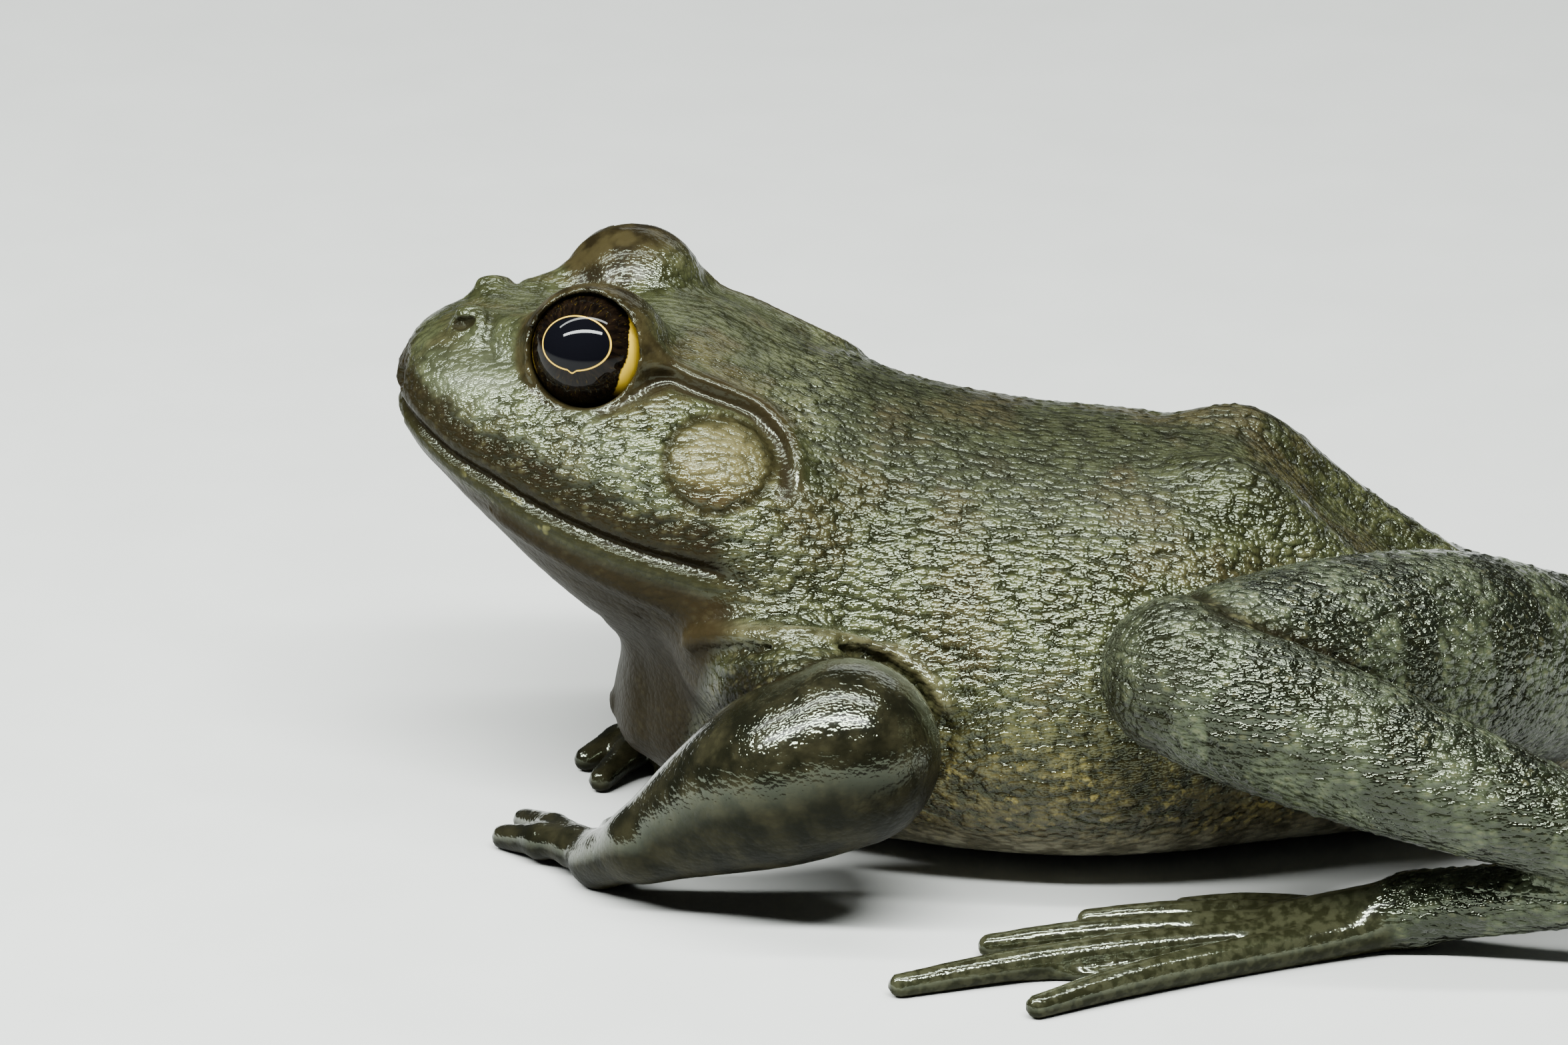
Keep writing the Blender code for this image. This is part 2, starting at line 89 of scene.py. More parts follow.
# %% Camera
AZIMUTH, ELEVATION = math.radians(94), math.radians(19)
DISTANCE = 1.2
FRAME_WIDTH = 0.18233                 # width of the scene that the picture takes in, in metres
SENSOR = 36.0
AIM = (0.0013, -0.0325, 0.033)        # from the floor under the frog's middle, in metres
target = Vector((centre.x, centre.y, low.z)) + Vector(AIM)
backwards = Vector((
    math.sin(AZIMUTH) * math.cos(ELEVATION),
    -math.cos(AZIMUTH) * math.cos(ELEVATION),
    math.sin(ELEVATION),
))
lens = bpy.data.cameras.new("Camera")
lens.sensor_width = SENSOR
lens.lens = SENSOR * DISTANCE / FRAME_WIDTH
camera = in_scene("Camera", lens)
camera.location = target + DISTANCE * backwards
camera.rotation_euler = (-backwards).to_track_quat("-Z", "Y").to_euler()
bpy.context.scene.camera = camera
print("lens, mm:", round(lens.lens, 1))

# %% [markdown]
# ## Form as a function of space
# A living body has no flat faces or clean edges, so it is described by a function that is
# negative inside the flesh and grows like a distance outside it. Two such forms join with a
# fillet by a smooth minimum, as a muscle joins a trunk. Lengths here are millimetres: x to the
# frog's left of the spine, y back from the tip of the snout and z up from the floor.

# %% Places and curves
MIDDLE = np.array([-1.3, 76.4, 0.0])  # the solid model's centre line, in these millimetres
FAR = 12.0


def placed(points):
    return (np.asarray(points) - MIDDLE) * MM


def length(v):
    return np.sqrt(np.einsum("...i,...i->...", v, v))


def step_up(x, start, end):
    """0 before start, 1 after end, and a smooth rise between them."""
    t = np.clip((x - start) / (end - start), 0, 1)
    return t * t * (3 - 2 * t)


def hump(x, width):
    """1 at x = 0, fading to nothing on both sides over about the width."""
    return np.exp(-((x / width) ** 2))


def curve(*knots):
    """A smooth function through (place, value) knots, level beyond both ends."""
    places, values = np.array(knots, float).T
    slopes = np.gradient(values, places)

    def at(x):
        x = np.clip(x, places[0], places[-1])
        i = np.clip(np.searchsorted(places, x) - 1, 0, len(places) - 2)
        step = places[i + 1] - places[i]
        t = (x - places[i]) / step
        rise = values[i + 1] - values[i]
        bend = t * (1 - t) * (slopes[i] * (1 - t) - slopes[i + 1] * t) * step
        return values[i] + rise * t * t * (3 - 2 * t) + bend

    return at


print("half way up a step:", step_up(0.5, 0, 1), "half way out of a hump:", round(float(hump(0.5, 1)), 2))

# %% Joining and carving
def melt(a, b, reach):
    """The union of two forms, with a fillet about as wide as reach where they meet."""
    share = np.clip(0.5 + 0.5 * (b - a) / reach, 0, 1)
    return b + share * (a - b) - reach * share * (1 - share)


def carve(a, b, reach):
    """Form a with form b taken out of it, and the edge rounded."""
    return -melt(-a, b, reach)


def tuck(a, b, reach, depth, width):
    """Two forms joined, with the skin pulled in to a crease along the line where they meet."""
    return melt(a, b, reach) + depth * hump(a - b, width)


def value_and_slope(form, p, step):
    """The form at each point, and how fast it grows along x, y and z."""
    here = form(p)
    return here, np.stack([(form(p + step * axis) - here) / step for axis in np.eye(3)], axis=1)


def levelled(form, p):
    """The form divided by its slope, which makes it a distance close to its surface."""
    here, slope = value_and_slope(form, p, 0.15)
    return here / np.sqrt(np.maximum((slope**2).sum(axis=1), 0.2))


def settled(points, form, steps=8):
    """Points moved along the form's slope until they lie on its surface."""
    points = np.array(points, float)
    for _ in range(steps):
        here, slope = value_and_slope(form, points, 0.04)
        push = here / np.maximum((slope**2).sum(axis=1), 0.3)
        points -= slope * np.clip(push, -0.6, 0.6)[:, None]
    return points


print("a fillet 4 mm wide fills the corner by, mm:", -melt(0.0, 0.0, 4.0))

# %% Lofts, tubes and balls
def loft(p, outlines, powers, ends):
    """A form whose cross-section at each place is a rounded box, its two halves apart."""
    top, bottom, width, middle = outlines
    y = np.clip(p[:, 1], *ends)
    above = p[:, 2] > middle(y)
    tall = np.maximum(np.where(above, top(y) - middle(y), middle(y) - bottom(y)), 0.4)
    wide = np.maximum(width(y), 0.4)
    power = np.where(above, *powers)
    aside, aloft = np.abs(p[:, 0]), np.abs(p[:, 2] - middle(y))
    share = ((aside / wide) ** power + (aloft / tall) ** power) ** (1 / power)
    out = np.hypot(aside, aloft)
    return out - out / np.maximum(share, 1e-6) + np.abs(p[:, 1] - y)


def smooth_line(points, spans):
    """Points on a smooth line through the given ones, in spans pieces between each two."""
    points = np.array(points, float)
    place = np.arange(len(points), dtype=float)
    at = np.linspace(0, len(points) - 1, spans * (len(points) - 1) + 1)
    return np.stack([curve(*zip(place, column))(at) for column in points.T], axis=1)


def near(p, points, margin):
    """Which of the points p lie inside the box round the given points, grown by margin."""
    lowest, highest = np.min(points, axis=0) - margin, np.max(points, axis=0) + margin
    return np.all((p > lowest) & (p < highest), axis=1)


def tube(p, points, radii, spans=5, flat=1.0):
    """A round-ended tube along a smooth line, with its radius given at each of the points."""
    line = smooth_line([(*q, r) for q, r in zip(points, radii)], spans)
    found = np.full(len(p), FAR)
    inside = near(p, line[:, :3], FAR + max(radii))
    if not inside.any():
        return found
    q = p[inside]
    best = np.full(len(q), FAR)
    for a, b in zip(line[:-1], line[1:]):
        run = b[:3] - a[:3]
        t = np.clip((q - a[:3]) @ run / max(run @ run, 1e-9), 0, 1)
        gap = q - a[:3] - t[:, None] * run
        gap[:, 2] *= flat
        best = np.minimum(best, length(gap) - (a[3] + t * (b[3] - a[3])))
    found[inside] = best
    return found


def ball(p, middle, radius):
    return length(p - np.array(middle)) - radius


def from_line(p, points, spans=3):
    return tube(p, points, [0.0] * len(points), spans)


def swell(p, points, height, breadth, spans=3):
    """How far a fold of skin along a line lifts the surface. A negative height sinks it."""
    return height * hump(from_line(p, points, spans), breadth)


print("distance from a ball, mm:", ball(np.array([[0.0, 0.0, 5.0]]), (0, 0, 0), 3.0))

# %% [markdown]
# ## The head
# A bullfrog's head is a broad wedge: a high blunt snout, a mouth as wide as the skull, and
# eyes that bulge out of the top. It is lofted from four outlines, then lids, nostrils, lips and
# folds are melted on or sunk in. It looks a little to the frog's right, so it is shaped
# straight and every point is turned into its frame first.

# %% Outlines of the head
HEAD_TURN = math.radians(6.0)
NECK_PIVOT = (0.0, 50.0)
HEAD_TOP = curve(
    (-0.4, 49.6), (-0.2, 51.2), (0.2, 52.6), (1.2, 54.3), (3, 55.7), (6, 57), (10, 57.7), (15, 57.9),
    (22, 58.2), (30, 58.8), (36, 57.8), (42, 55), (50, 51), (58, 46),
)
HEAD_BOTTOM = curve(
    (-0.4, 48.6), (-0.2, 46.9), (0.2, 45.3), (1.2, 43.2), (3, 41), (7, 37.8), (12, 33.2), (18, 27.6),
    (26, 21.6), (36, 17.8), (46, 16.5), (58, 16),
)
HEAD_WIDTH = curve(
    (-0.4, 0.8), (-0.2, 3.6), (0.2, 6.0), (1.2, 9.0), (3, 12.2), (7, 16), (12, 19.2), (20, 22.8), (28, 25.6),
    (36, 27.8), (44, 29), (52, 28), (58, 24),
)
MOUTH = curve(
    (-0.4, 48.6), (4, 47.0), (7, 45.4), (10, 44.2), (14, 43.0), (19, 41.1), (26, 39.0),
    (33, 37.5), (38, 36.8), (44.5, 35.8), (58, 32),
)
HEAD_ENDS = (-0.4, 58.0)
MOUTH_CORNER = 45.0


def turned(p, back=False):
    """Points moved into the head's own straight frame or, with back, out of it."""
    angle = -HEAD_TURN if back else HEAD_TURN
    c, s = math.cos(angle), math.sin(angle)
    x, y = p[:, 0] - NECK_PIVOT[0], p[:, 1] - NECK_PIVOT[1]
    return np.stack(
        [c * x - s * y + NECK_PIVOT[0], s * x + c * y + NECK_PIVOT[1], p[:, 2]], axis=1
    )


def folded(p):
    """Points with the right side laid over the left, for what is the same on both."""
    return np.stack([np.abs(p[:, 0]), p[:, 1], p[:, 2]], axis=1)


print("head at its widest, mm:", round(2 * float(HEAD_WIDTH(MOUTH_CORNER)), 1))

# %% Bare skull, snout edge and eye bulges
EYE_CENTRE = np.array([12.2, 24.0, 56.6])
EYE_RADIUS = 6.6
EYE_PLAY = 0.10                       # room between an eyeball and its lids
NOSTRIL = np.array([5.8, 8.8, 56.9])
SNOUT_EDGE = [(5.2, 9.5, 55.4), (7.2, 13.5, 56), (9.0, 17.5, 56.8)]


def skull(q):
    """The head without its openings and folds, in its own frame and laid on one side."""
    outlines = (HEAD_TOP, HEAD_BOTTOM, HEAD_WIDTH, MOUTH)
    form = levelled(lambda r: loft(r, outlines, (2.15, 2.0), HEAD_ENDS), q)
    form = melt(form, tube(q, SNOUT_EDGE, (2.2, 2.4, 3.0)), 3.0)
    form = melt(form, ball(q, NOSTRIL, 1.9), 1.5)
    lid = ball(q, EYE_CENTRE, EYE_RADIUS + 0.95)
    hood = ball(q, EYE_CENTRE + (-0.9, 1.8, -0.2), EYE_RADIUS + 0.75)
    return melt(form, melt(lid, hood, 1.5), 2.2)


print("eyeball, mm across:", 2 * EYE_RADIUS)

# %% [markdown]
# ## Lines on the head
# Three lines give the face its character. A heavy fold runs from the eye over the eardrum and
# down behind it, with a dark crease under its edge. The same crease carries on forwards under
# the eyeball as the edge of the lower lid. The rest are the nostril's groove and the neck's.
# Each is a list of points, settled onto the skull so that a fold has the same height all along.

# %% Lines settled on the skull
EAR_FOLD = settled([
    (14.0, 31.0, 56.8), (14.7, 35.1, 55.4), (15.1, 37.9, 54.4), (14.8, 41.5, 53.1),
    (15.0, 44.6, 51.8), (16.7, 47.8, 49.5), (19.7, 49.5, 47.3), (22.6, 50.3, 45.2),
], skull)
EYE_CORNER = [(15.4, 30.2, 57.4), (16.4, 31.9, 55.8), (16.2, 34.0, 55.2)], (2.6, 2.0, 1.0)
LID_CREASE = settled([
    (17.2, 18.2, 53.5), (18.0, 19.6, 52.3), (19.2, 21.6, 51.5), (19.8, 23.6, 51.3),
    (19.7, 25.9, 51.9), (19.2, 28.6, 52.8), (18.1, 30.7, 53.8), (16.7, 32.6, 54.7),
], skull)
EYE_CREASE = settled([
    (19.6, 26.6, 52.0), (18.9, 29.2, 53.0), (17.4, 31.6, 54.2), (15.9, 34.0, 55.0),
    (16.3, 36.2, 54.4), (16.3, 39.0, 53.5), (16.0, 41.5, 52.6), (16.0, 43.8, 51.6),
    (17.3, 46.0, 50.2), (18.8, 47.5, 48.9), (21.6, 48.6, 46.7), (24.0, 49.2, 44.6),
], skull)
NOSTRIL_RIM = settled([
    (5.8, 7.4, 58.8), (5.9, 9.2, 59.2), (6.9, 10.3, 58.7), (8.4, 10.3, 57.7), (9.4, 10.0, 56.4),
], skull)
NOSTRIL_GROOVE = settled([
    (6.4, 11.5, 58.6), (8.0, 11.7, 57.8), (9.3, 11.7, 57.0), (10.7, 11.8, 55.9), (12.0, 12.4, 55.2),
], skull)
NOSTRIL_PIT = settled([(7.4, 7.0, 57.6), (7.7, 8.0, 57.7), (7.6, 9.0, 57.8)], skull), (0.6, 0.9, 0.6)
THROAT_FOLD = settled([(19.5, 15, 38.2), (23.5, 24, 34.6), (26.6, 33, 31.8), (28.4, 41, 30.4)], skull)
NECK_CREASE = [(26.0, 49.4, 43.0), (28.4, 49.4, 40.0), (29.6, 49.6, 37.0), (30.9, 49.5, 32.8)]
print("ear fold, mm:", round(float(length(np.diff(EAR_FOLD, axis=0)).sum()), 1))

# %% [markdown]
# ## Lids, eardrum and lips
# The lids are a soft rim round an opening that looks slightly up, with the eyeball's own room
# carved out behind it, so that no gap shows and no skin cuts the eye. The eardrum is a disc of
# thin skin nearly as wide as the eye, and the mouth is a line with a rolled lip on each side.
# All three are small height changes, added to the skull's form where they lie.

# %% Eyelids
EYE_UP = math.radians(18)
EYE_FORWARD = math.radians(1)
LID_OPENING = 6.45                    # radius of the opening between the lids
LID_DEPTH = 1.0                       # its plane's distance out from the eye's centre
LID_RIM = 0.60                        # radius of the lids' rolled edge


def pointing(up, forward):
    return np.array([
        math.cos(up) * math.cos(forward), -math.cos(up) * math.sin(forward), math.sin(up)
    ])


def round_the_eye(q):
    """How far out along the lids' axis a point lies, and how far aside of it."""
    offset = q - EYE_CENTRE
    axis = pointing(EYE_UP, EYE_FORWARD)
    out = offset @ axis
    return out, length(offset - out[:, None] * axis)


def with_lids(form, q):
    """The head with a rounded rim round each eye, and room for the eyeball."""
    out, aside = round_the_eye(q)
    rim = np.hypot(aside - LID_OPENING - 0.40, out - LID_DEPTH + 0.2) - LID_RIM
    form = melt(form, rim, 0.7)
    form = carve(form, ball(q, EYE_CENTRE, EYE_RADIUS + EYE_PLAY), 0.08)
    opening = aside - (LID_OPENING + 0.06 * np.maximum(out, 0))
    return carve(form, np.maximum(LID_DEPTH - out, opening), 0.2)


print("opening between the lids, mm across:", 2 * LID_OPENING)

# %% Eardrum
EARDRUM_CENTRE = np.array([23.6, 41.0, 48.0])
EARDRUM_TILT = math.radians(36)
EARDRUM_RADIUS = 6.3


def across_the_drum(q):
    """How far a point lies from the middle of the eardrum, measured along its face."""
    offset = q - EARDRUM_CENTRE
    out = offset @ np.array([math.cos(EARDRUM_TILT), 0, math.sin(EARDRUM_TILT)])
    rise = offset[:, 2] * math.cos(EARDRUM_TILT) - offset[:, 0] * math.sin(EARDRUM_TILT)
    return np.where(out > -7, np.hypot(rise, offset[:, 1]), 3 * EARDRUM_RADIUS)


def with_drum(form, q):
    """The head with its taut eardrum: a ring-shaped groove round a low dome."""
    away = across_the_drum(q) / EARDRUM_RADIUS
    groove = 0.55 * hump(away - 0.97, 0.11)
    dish = 0.20 * step_up(away, 1.0, 0.7)
    dome = 0.75 * hump(away, 0.55)
    return form + groove + dish - dome


print("eardrum, mm across:", 2 * EARDRUM_RADIUS)

# %% Lips, nostrils and folds
def with_lips(form, q):
    """The head with a mouth line, a rolled upper lip and a thin lower one."""
    rise = q[:, 2] - MOUTH(q[:, 1])
    in_mouth = step_up(q[:, 1], MOUTH_CORNER, MOUTH_CORNER - 6)
    line, upper, lower = 0.85 * hump(rise, 0.75), 0.40 * hump(rise - 2.0, 1.3), 0.28 * hump(rise + 1.9, 1.0)
    return form + in_mouth * (line - upper - lower)


def head_form(p):
    """The whole head in its own frame."""
    q = folded(p)
    found = np.full(len(q), FAR)
    inside = near(q, [(0, -6, 8), (30, 62, 68)], 8)
    if not inside.any():
        return found
    q = q[inside]
    form = with_drum(with_lips(skull(q), q), q)
    high_up = step_up(q[:, 2], 44.5, 48.5)
    form -= high_up * (swell(q, EAR_FOLD, 1.7, 1.3) + swell(q, EYE_CREASE, -1.5, 1.0))
    form -= swell(q, LID_CREASE, -0.35, 0.6) + swell(q, THROAT_FOLD, 0.8, 1.5)
    form -= swell(q, NOSTRIL_RIM, 0.55, 0.7) + swell(q, NOSTRIL_GROOVE, -0.55, 0.55)
    form = carve(form, tube(q, *NOSTRIL_PIT), 0.3)
    found[inside] = with_lids(form, q)
    return found


print("head form at the eye's centre, mm:", head_form(EYE_CENTRE[None]).round(2))

# %% [markdown]
# ## The trunk
# The back falls from the shoulders to a hump where the hip bones meet the spine, then drops to
# the vent. The belly is flat where the weight rests. One loft makes it, and a pair of tubes
# raises the hip bones.

# %% Trunk
TRUNK_TOP = curve(
    (24.5, 12), (26, 19), (30, 29), (36, 40), (43, 47.5), (50, 49.8), (56, 49.2), (62, 48.2),
    (72, 46.2), (84, 45.2), (92, 44.6), (97, 44.0), (101, 41.8), (107, 36.2), (113.5, 31),
    (120, 26.0), (128, 21.5), (135, 18), (140, 15.5), (145, 12),
)
TRUNK_BOTTOM = curve(
    (24.5, 9), (26, 7.4), (30, 5), (36, 2.2), (44, 0.3), (52, -0.4), (110, -0.4), (118, 0.2),
    (126, 2.0), (134, 5.0), (140, 8.5), (145, 11.5),
)
TRUNK_WIDTH = curve(
    (24.5, 0.5), (26, 7), (30, 13.5), (36, 20), (43, 25.5), (52, 30), (62, 34), (72, 36.5),
    (82, 36.5), (92, 33.5), (100, 29), (108, 25), (116, 21.5), (124, 18.5), (132, 14),
    (139, 8), (145, 0.5),
)
TRUNK_MIDDLE = curve(
    (24.5, 10), (30, 13), (36, 16), (44, 18), (60, 18.5), (80, 18), (100, 17), (120, 14),
    (135, 12), (145, 11.8),
)
TRUNK_ENDS = (24.5, 145.0)
HIP_BONE = [(9.5, 94, 41.6), (10.5, 99, 40.6), (12.5, 110, 31.5), (13, 122, 23)]


def trunk_form(p):
    q = folded(p)
    outlines = (TRUNK_TOP, TRUNK_BOTTOM, TRUNK_WIDTH, TRUNK_MIDDLE)
    form = levelled(lambda r: loft(r, outlines, (2.1, 2.5), TRUNK_ENDS), q)
    return melt(form, tube(q, HIP_BONE, (2.6, 3.6, 3.6, 4)), 5.0)


print("trunk at its widest, mm:", round(2 * float(TRUNK_WIDTH(77)), 1))

# %% [markdown]
# ## The limbs
# Arms and legs are tubes along the bones, thick where the muscle is. The near limbs and the far
# ones lie differently, so each has its own joints, measured outwards from the spine. The hand
# has four blunt fingers. The foot has five toes, with a thin web between them.

# %% Joints and thicknesses
ARM_LEFT = {
    "upper": [(23, 43, 25), (34, 49, 23.5), (43.5, 54.5, 20.8)],
    "forearm": [(43.5, 54.5, 20.8), (43, 47.5, 17.6), (41.2, 39.5, 12.8), (39.5, 32, 8)],
    "hand": [(39.5, 32, 8), (36.5, 28.6, 5.4), (33, 26, 3.2)],
    "fingers": ((42, 16.5), (58, 19.5), (95, 15.5), (135, 12)),
}
LEG_LEFT = {
    "thigh": [(14, 132, 22.5), (23.5, 121, 26), (33, 109, 28.6), (41, 98.5, 30.6), (46, 92.4, 31.5)],
    "shank": [(46, 92.4, 31.8), (49.2, 103, 28.2), (51.2, 118, 23.2), (52, 134, 17.6), (52, 149, 12)],
    "ankle": [(52, 149, 12), (50, 136, 8.6), (46, 119, 4.8)],
    "toes": ((-18, 27), (-7, 37), (4, 48), (15, 60), (27, 48)),
}
ARM_RIGHT = {
    "upper": [(23, 43, 24), (33, 50, 20), (41, 55, 16.5)],
    "forearm": [(41, 55, 16.5), (37, 49.5, 13.2), (29, 42.5, 9.4), (20.5, 36, 6.6)],
    "hand": [(20.5, 36, 6.6), (16.5, 33.2, 4.8), (12.5, 30.5, 3.2)],
    "fingers": ((40, 12.5), (64, 16.5), (92, 15), (128, 11.5)),
}
LEG_RIGHT = {
    "thigh": [(14, 131, 12), (25, 120, 11.6), (36, 108.5, 11.4), (42.5, 101.5, 11.2), (46, 96, 11)],
    "shank": [(46, 96, 11), (48, 107, 9.4), (46.5, 120, 8.4), (43.5, 135, 7), (41.5, 149, 6)],
    "ankle": [(41.5, 149, 6), (52, 137, 5), (57, 121, 4.6)],
    "toes": ((-26, 27), (-15, 37), (-5, 48), (5, 60), (16, 48)),
}
SIDES = {
    "left": (1, ARM_LEFT, LEG_LEFT, (11.2, 13.0, 12.4, 10.4, 8.4), (9.4, 9.0, 8.0, 6.2, 5.0)),
    "right": (-1, ARM_RIGHT, LEG_RIGHT, (10.2, 11.6, 11.3, 9.8, 8.4), (8.4, 8.2, 7.4, 6.0, 5.0)),
}
for side, (_, arm, leg, _, _) in SIDES.items():
    for name, bone in (("forearm", arm["forearm"]), ("thigh", leg["thigh"]), ("shank", leg["shank"])):
        print(side, name, "mm long:", round(float(length(np.diff(bone, axis=0)).sum())))

# %% Arms and fingers
def digit_joints(base, angle, reach, shares, heights, bow=0.0):
    """The knuckles of a digit along the floor, its angle measured outwards from ahead."""
    joints = []
    for share, height in zip(shares, heights):
        way = math.radians(angle + bow * (share - 0.5))
        x, y = base[0] + math.sin(way) * reach * share, base[1] - math.cos(way) * reach * share
        joints.append((x, y, height))
    return joints


def arm_forms(p, arm):
    """An upper arm, and the forearm with its hand."""
    upper = tube(p, arm["upper"], (8.6, 7.9, 9.2), 8)
    forearm = tube(p, arm["forearm"], (10.9, 10.2, 7.6, 4.6), 8)
    hand = tube(p, arm["hand"], (4.4, 4.2, 3.9), flat=1.2)
    for inwards, reach in arm["fingers"]:
        shares, heights = (0.0, 0.3, 0.62, 1.0), (2.8, 3.2, 2.7, 1.4)
        joints = digit_joints(arm["hand"][-1], -inwards, reach, shares, heights)
        finger = tube(p, joints, (2.6, 2.0, 1.9, 1.5))
        for share in (1, 2):
            finger = melt(finger, ball(p, np.array(joints[share]) - (0, 0, 0.2), 2.1), 0.8)
        hand = melt(hand, finger, 1.2)
    return upper, forearm, hand


print("longest finger, mm:", max(reach for _, reach in ARM_LEFT["fingers"]))

# %% Legs, toes and webs
WEB_TOP = 1.35


def toe_joints(leg, toe):
    shares, heights = (0.0, 0.3, 0.55, 0.78, 1.0), (3.4, 2.4, 2.2, 1.9, 1.3)
    return digit_joints(leg["ankle"][-1], *toe, shares, heights, 7.0)


def outline_distance(p, corners):
    """Signed distance in plan to a closed outline, negative inside it."""
    found = np.full(len(p), 1e9)
    inside = np.zeros(len(p), bool)
    for a, b in zip(corners, np.roll(corners, -1, axis=0)):
        run = b - a
        t = np.clip((p[:, :2] - a) @ run / (run @ run), 0, 1)
        found = np.minimum(found, length(p[:, :2] - a - t[:, None] * run))
        crosses = (a[1] > p[:, 1]) != (b[1] > p[:, 1])
        inside ^= crosses & (p[:, 0] - a[0] < (p[:, 1] - a[1]) * run[0] / (run[1] or 1.0))
    return np.where(inside, -found, found)


def web_form(p, leg):
    """The web as one thin sheet on the floor, scalloped between the tips of the toes."""
    lines = [np.array(toe_joints(leg, toe))[:, :2] for toe in leg["toes"]]
    corners = [lines[0][0], lines[0][3]]
    for first, second in zip(lines[:-1], lines[1:]):
        corners += [0.3 * (first[3] + second[3]) + 0.2 * (first[2] + second[2]), second[3]]
    found = np.full(len(p), FAR)
    inside = near(p, [(*corner, 1.0) for corner in corners], FAR)
    if inside.any():
        plan = outline_distance(p[inside], np.array(corners))
        found[inside] = np.maximum(plan, p[inside, 2] - WEB_TOP)
    return found


def leg_forms(p, leg, thigh_radii, shank_radii):
    """A thigh, a shank, and the ankle with its webbed foot."""
    thigh = tube(p, leg["thigh"], thigh_radii, 8)
    shank = tube(p, leg["shank"], shank_radii, 8)
    ankle = tube(p, leg["ankle"], (5.0, 4.2, 4.2))
    foot = tube(p, [leg["ankle"][-1], toe_joints(leg, leg["toes"][2])[1]], (4.2, 3.4), flat=1.2)
    for toe in leg["toes"]:
        foot = melt(foot, tube(p, toe_joints(leg, toe), (2.6, 2.1, 2.0, 1.8, 1.4)), 1.0)
    return thigh, shank, ankle, melt(foot, web_form(p, leg), 0.8)


print("longest toe, mm:", max(reach for _, reach in LEG_LEFT["toes"]))

# %% [markdown]
# ## One whole frog
# Flesh that is one muscle melts with a wide fillet, as the thigh does into the rump. Flesh that
# only lies against its neighbour meets it in a sharp tuck, as the folded forearm does against
# the flank. Loose skin hangs over the upper arm in two soft rolls, and the frog is cut flat
# where it rests on the floor.

# %% Whole form
DRAPE = np.array([
    (28.3, 35.5, 28.1), (30.2, 37.7, 29.5), (32.8, 41.9, 30.9), (34.4, 45.8, 31.7), (34.8, 49.9, 31.9),
    (33.6, 54.1, 31.2), (33.0, 58.1, 29.8), (33.6, 60.9, 28.2), (34.8, 63.4, 26.4), (35.8, 65.2, 23.7),
])
UNDER_RIM = DRAPE + (0.9, 0.0, -1.8)
SLEEVE = np.array([
    (25.6, 34.3, 23.5), (30.9, 37.2, 25.0), (34.0, 39.7, 25.9), (36.9, 42.6, 27.6), (38.5, 45.1, 28.8),
])


def frog(p, parts=False):
    """The whole frog's form and, with parts, the forms that it was made from."""
    head, trunk = head_form(turned(p)), trunk_form(p)
    core = melt(head, trunk, 5.0)
    whole = core + swell(folded(turned(p)), NECK_CREASE, 0.5, 1.1)
    limbs = []
    for side, (sign, arm, leg, thigh_radii, shank_radii) in SIDES.items():
        q = p * np.array([sign, 1, 1])
        upper, forearm, hand = arm_forms(q, arm)
        thigh, shank, ankle, foot = leg_forms(q, leg, thigh_radii, shank_radii)
        whole = melt(whole, upper, 5.0)
        drop = np.array([0, 0, 0 if side == "left" else -2.5])
        whole -= swell(q, DRAPE + drop, 1.5, 1.4) + swell(q, UNDER_RIM + drop, -1.0, 0.75)
        whole -= swell(q, SLEEVE + drop, -0.9, 0.8)
        whole = tuck(whole, melt(forearm, hand, 2.5), 0.5, 0.55, 0.9)
        rump = step_up(p[:, 1], 112, 132)
        whole = melt(whole, thigh, 1.2 + 4 * rump) + 0.4 * (1 - rump) * hump(whole - thigh, 1.0)
        lower = melt(melt(shank, ankle, 1.5), foot, 2.0)
        whole = tuck(whole, lower, 0.5, 0.6, 0.9)
        limbs.append((upper, forearm, hand, thigh, shank, ankle, foot))
    whole = np.maximum(whole, -p[:, 2])
    return (whole, head, trunk, limbs) if parts else whole


probe = np.array([[0.0, 80.0, 20.0], [0.0, 80.0, 60.0]])
print("form inside and above the trunk, mm:", frog(probe).round(1))

# %% [markdown]
# ## From form to mesh
# A grid of values is turned into a mesh where they pass through zero. A fine grid through the
# whole box would take minutes, but only points near the skin matter. So big blocks are tried
# first, the ones that may hold skin are split, and only the last, small ones are filled in.
# Several threads share the work, because the arithmetic is all in large arrays.

# %% Sampling only near the skin
VOXEL = 0.6
GRID_LOW = np.array([-80.0, -4.0, -2.4])
GRID_HIGH = np.array([80.0, 160.0, 68.0])
THREADS = 4


def in_threads(points, pieces):
    """The frog's form at many points, worked out by several threads in a fixed order."""
    with ThreadPoolExecutor(THREADS) as pool:
        return np.concatenate(list(pool.map(frog, np.array_split(points, pieces))))


def cells(shape):
    """The place of every cell of a small grid, counted from its corner."""
    return np.argwhere(np.ones(shape, bool))


def may_hold_skin(rough, side):
    """Whether skin can cross a block, from the form at its middle and the block's side."""
    return np.abs(rough) < 1.1 * side + 0.6


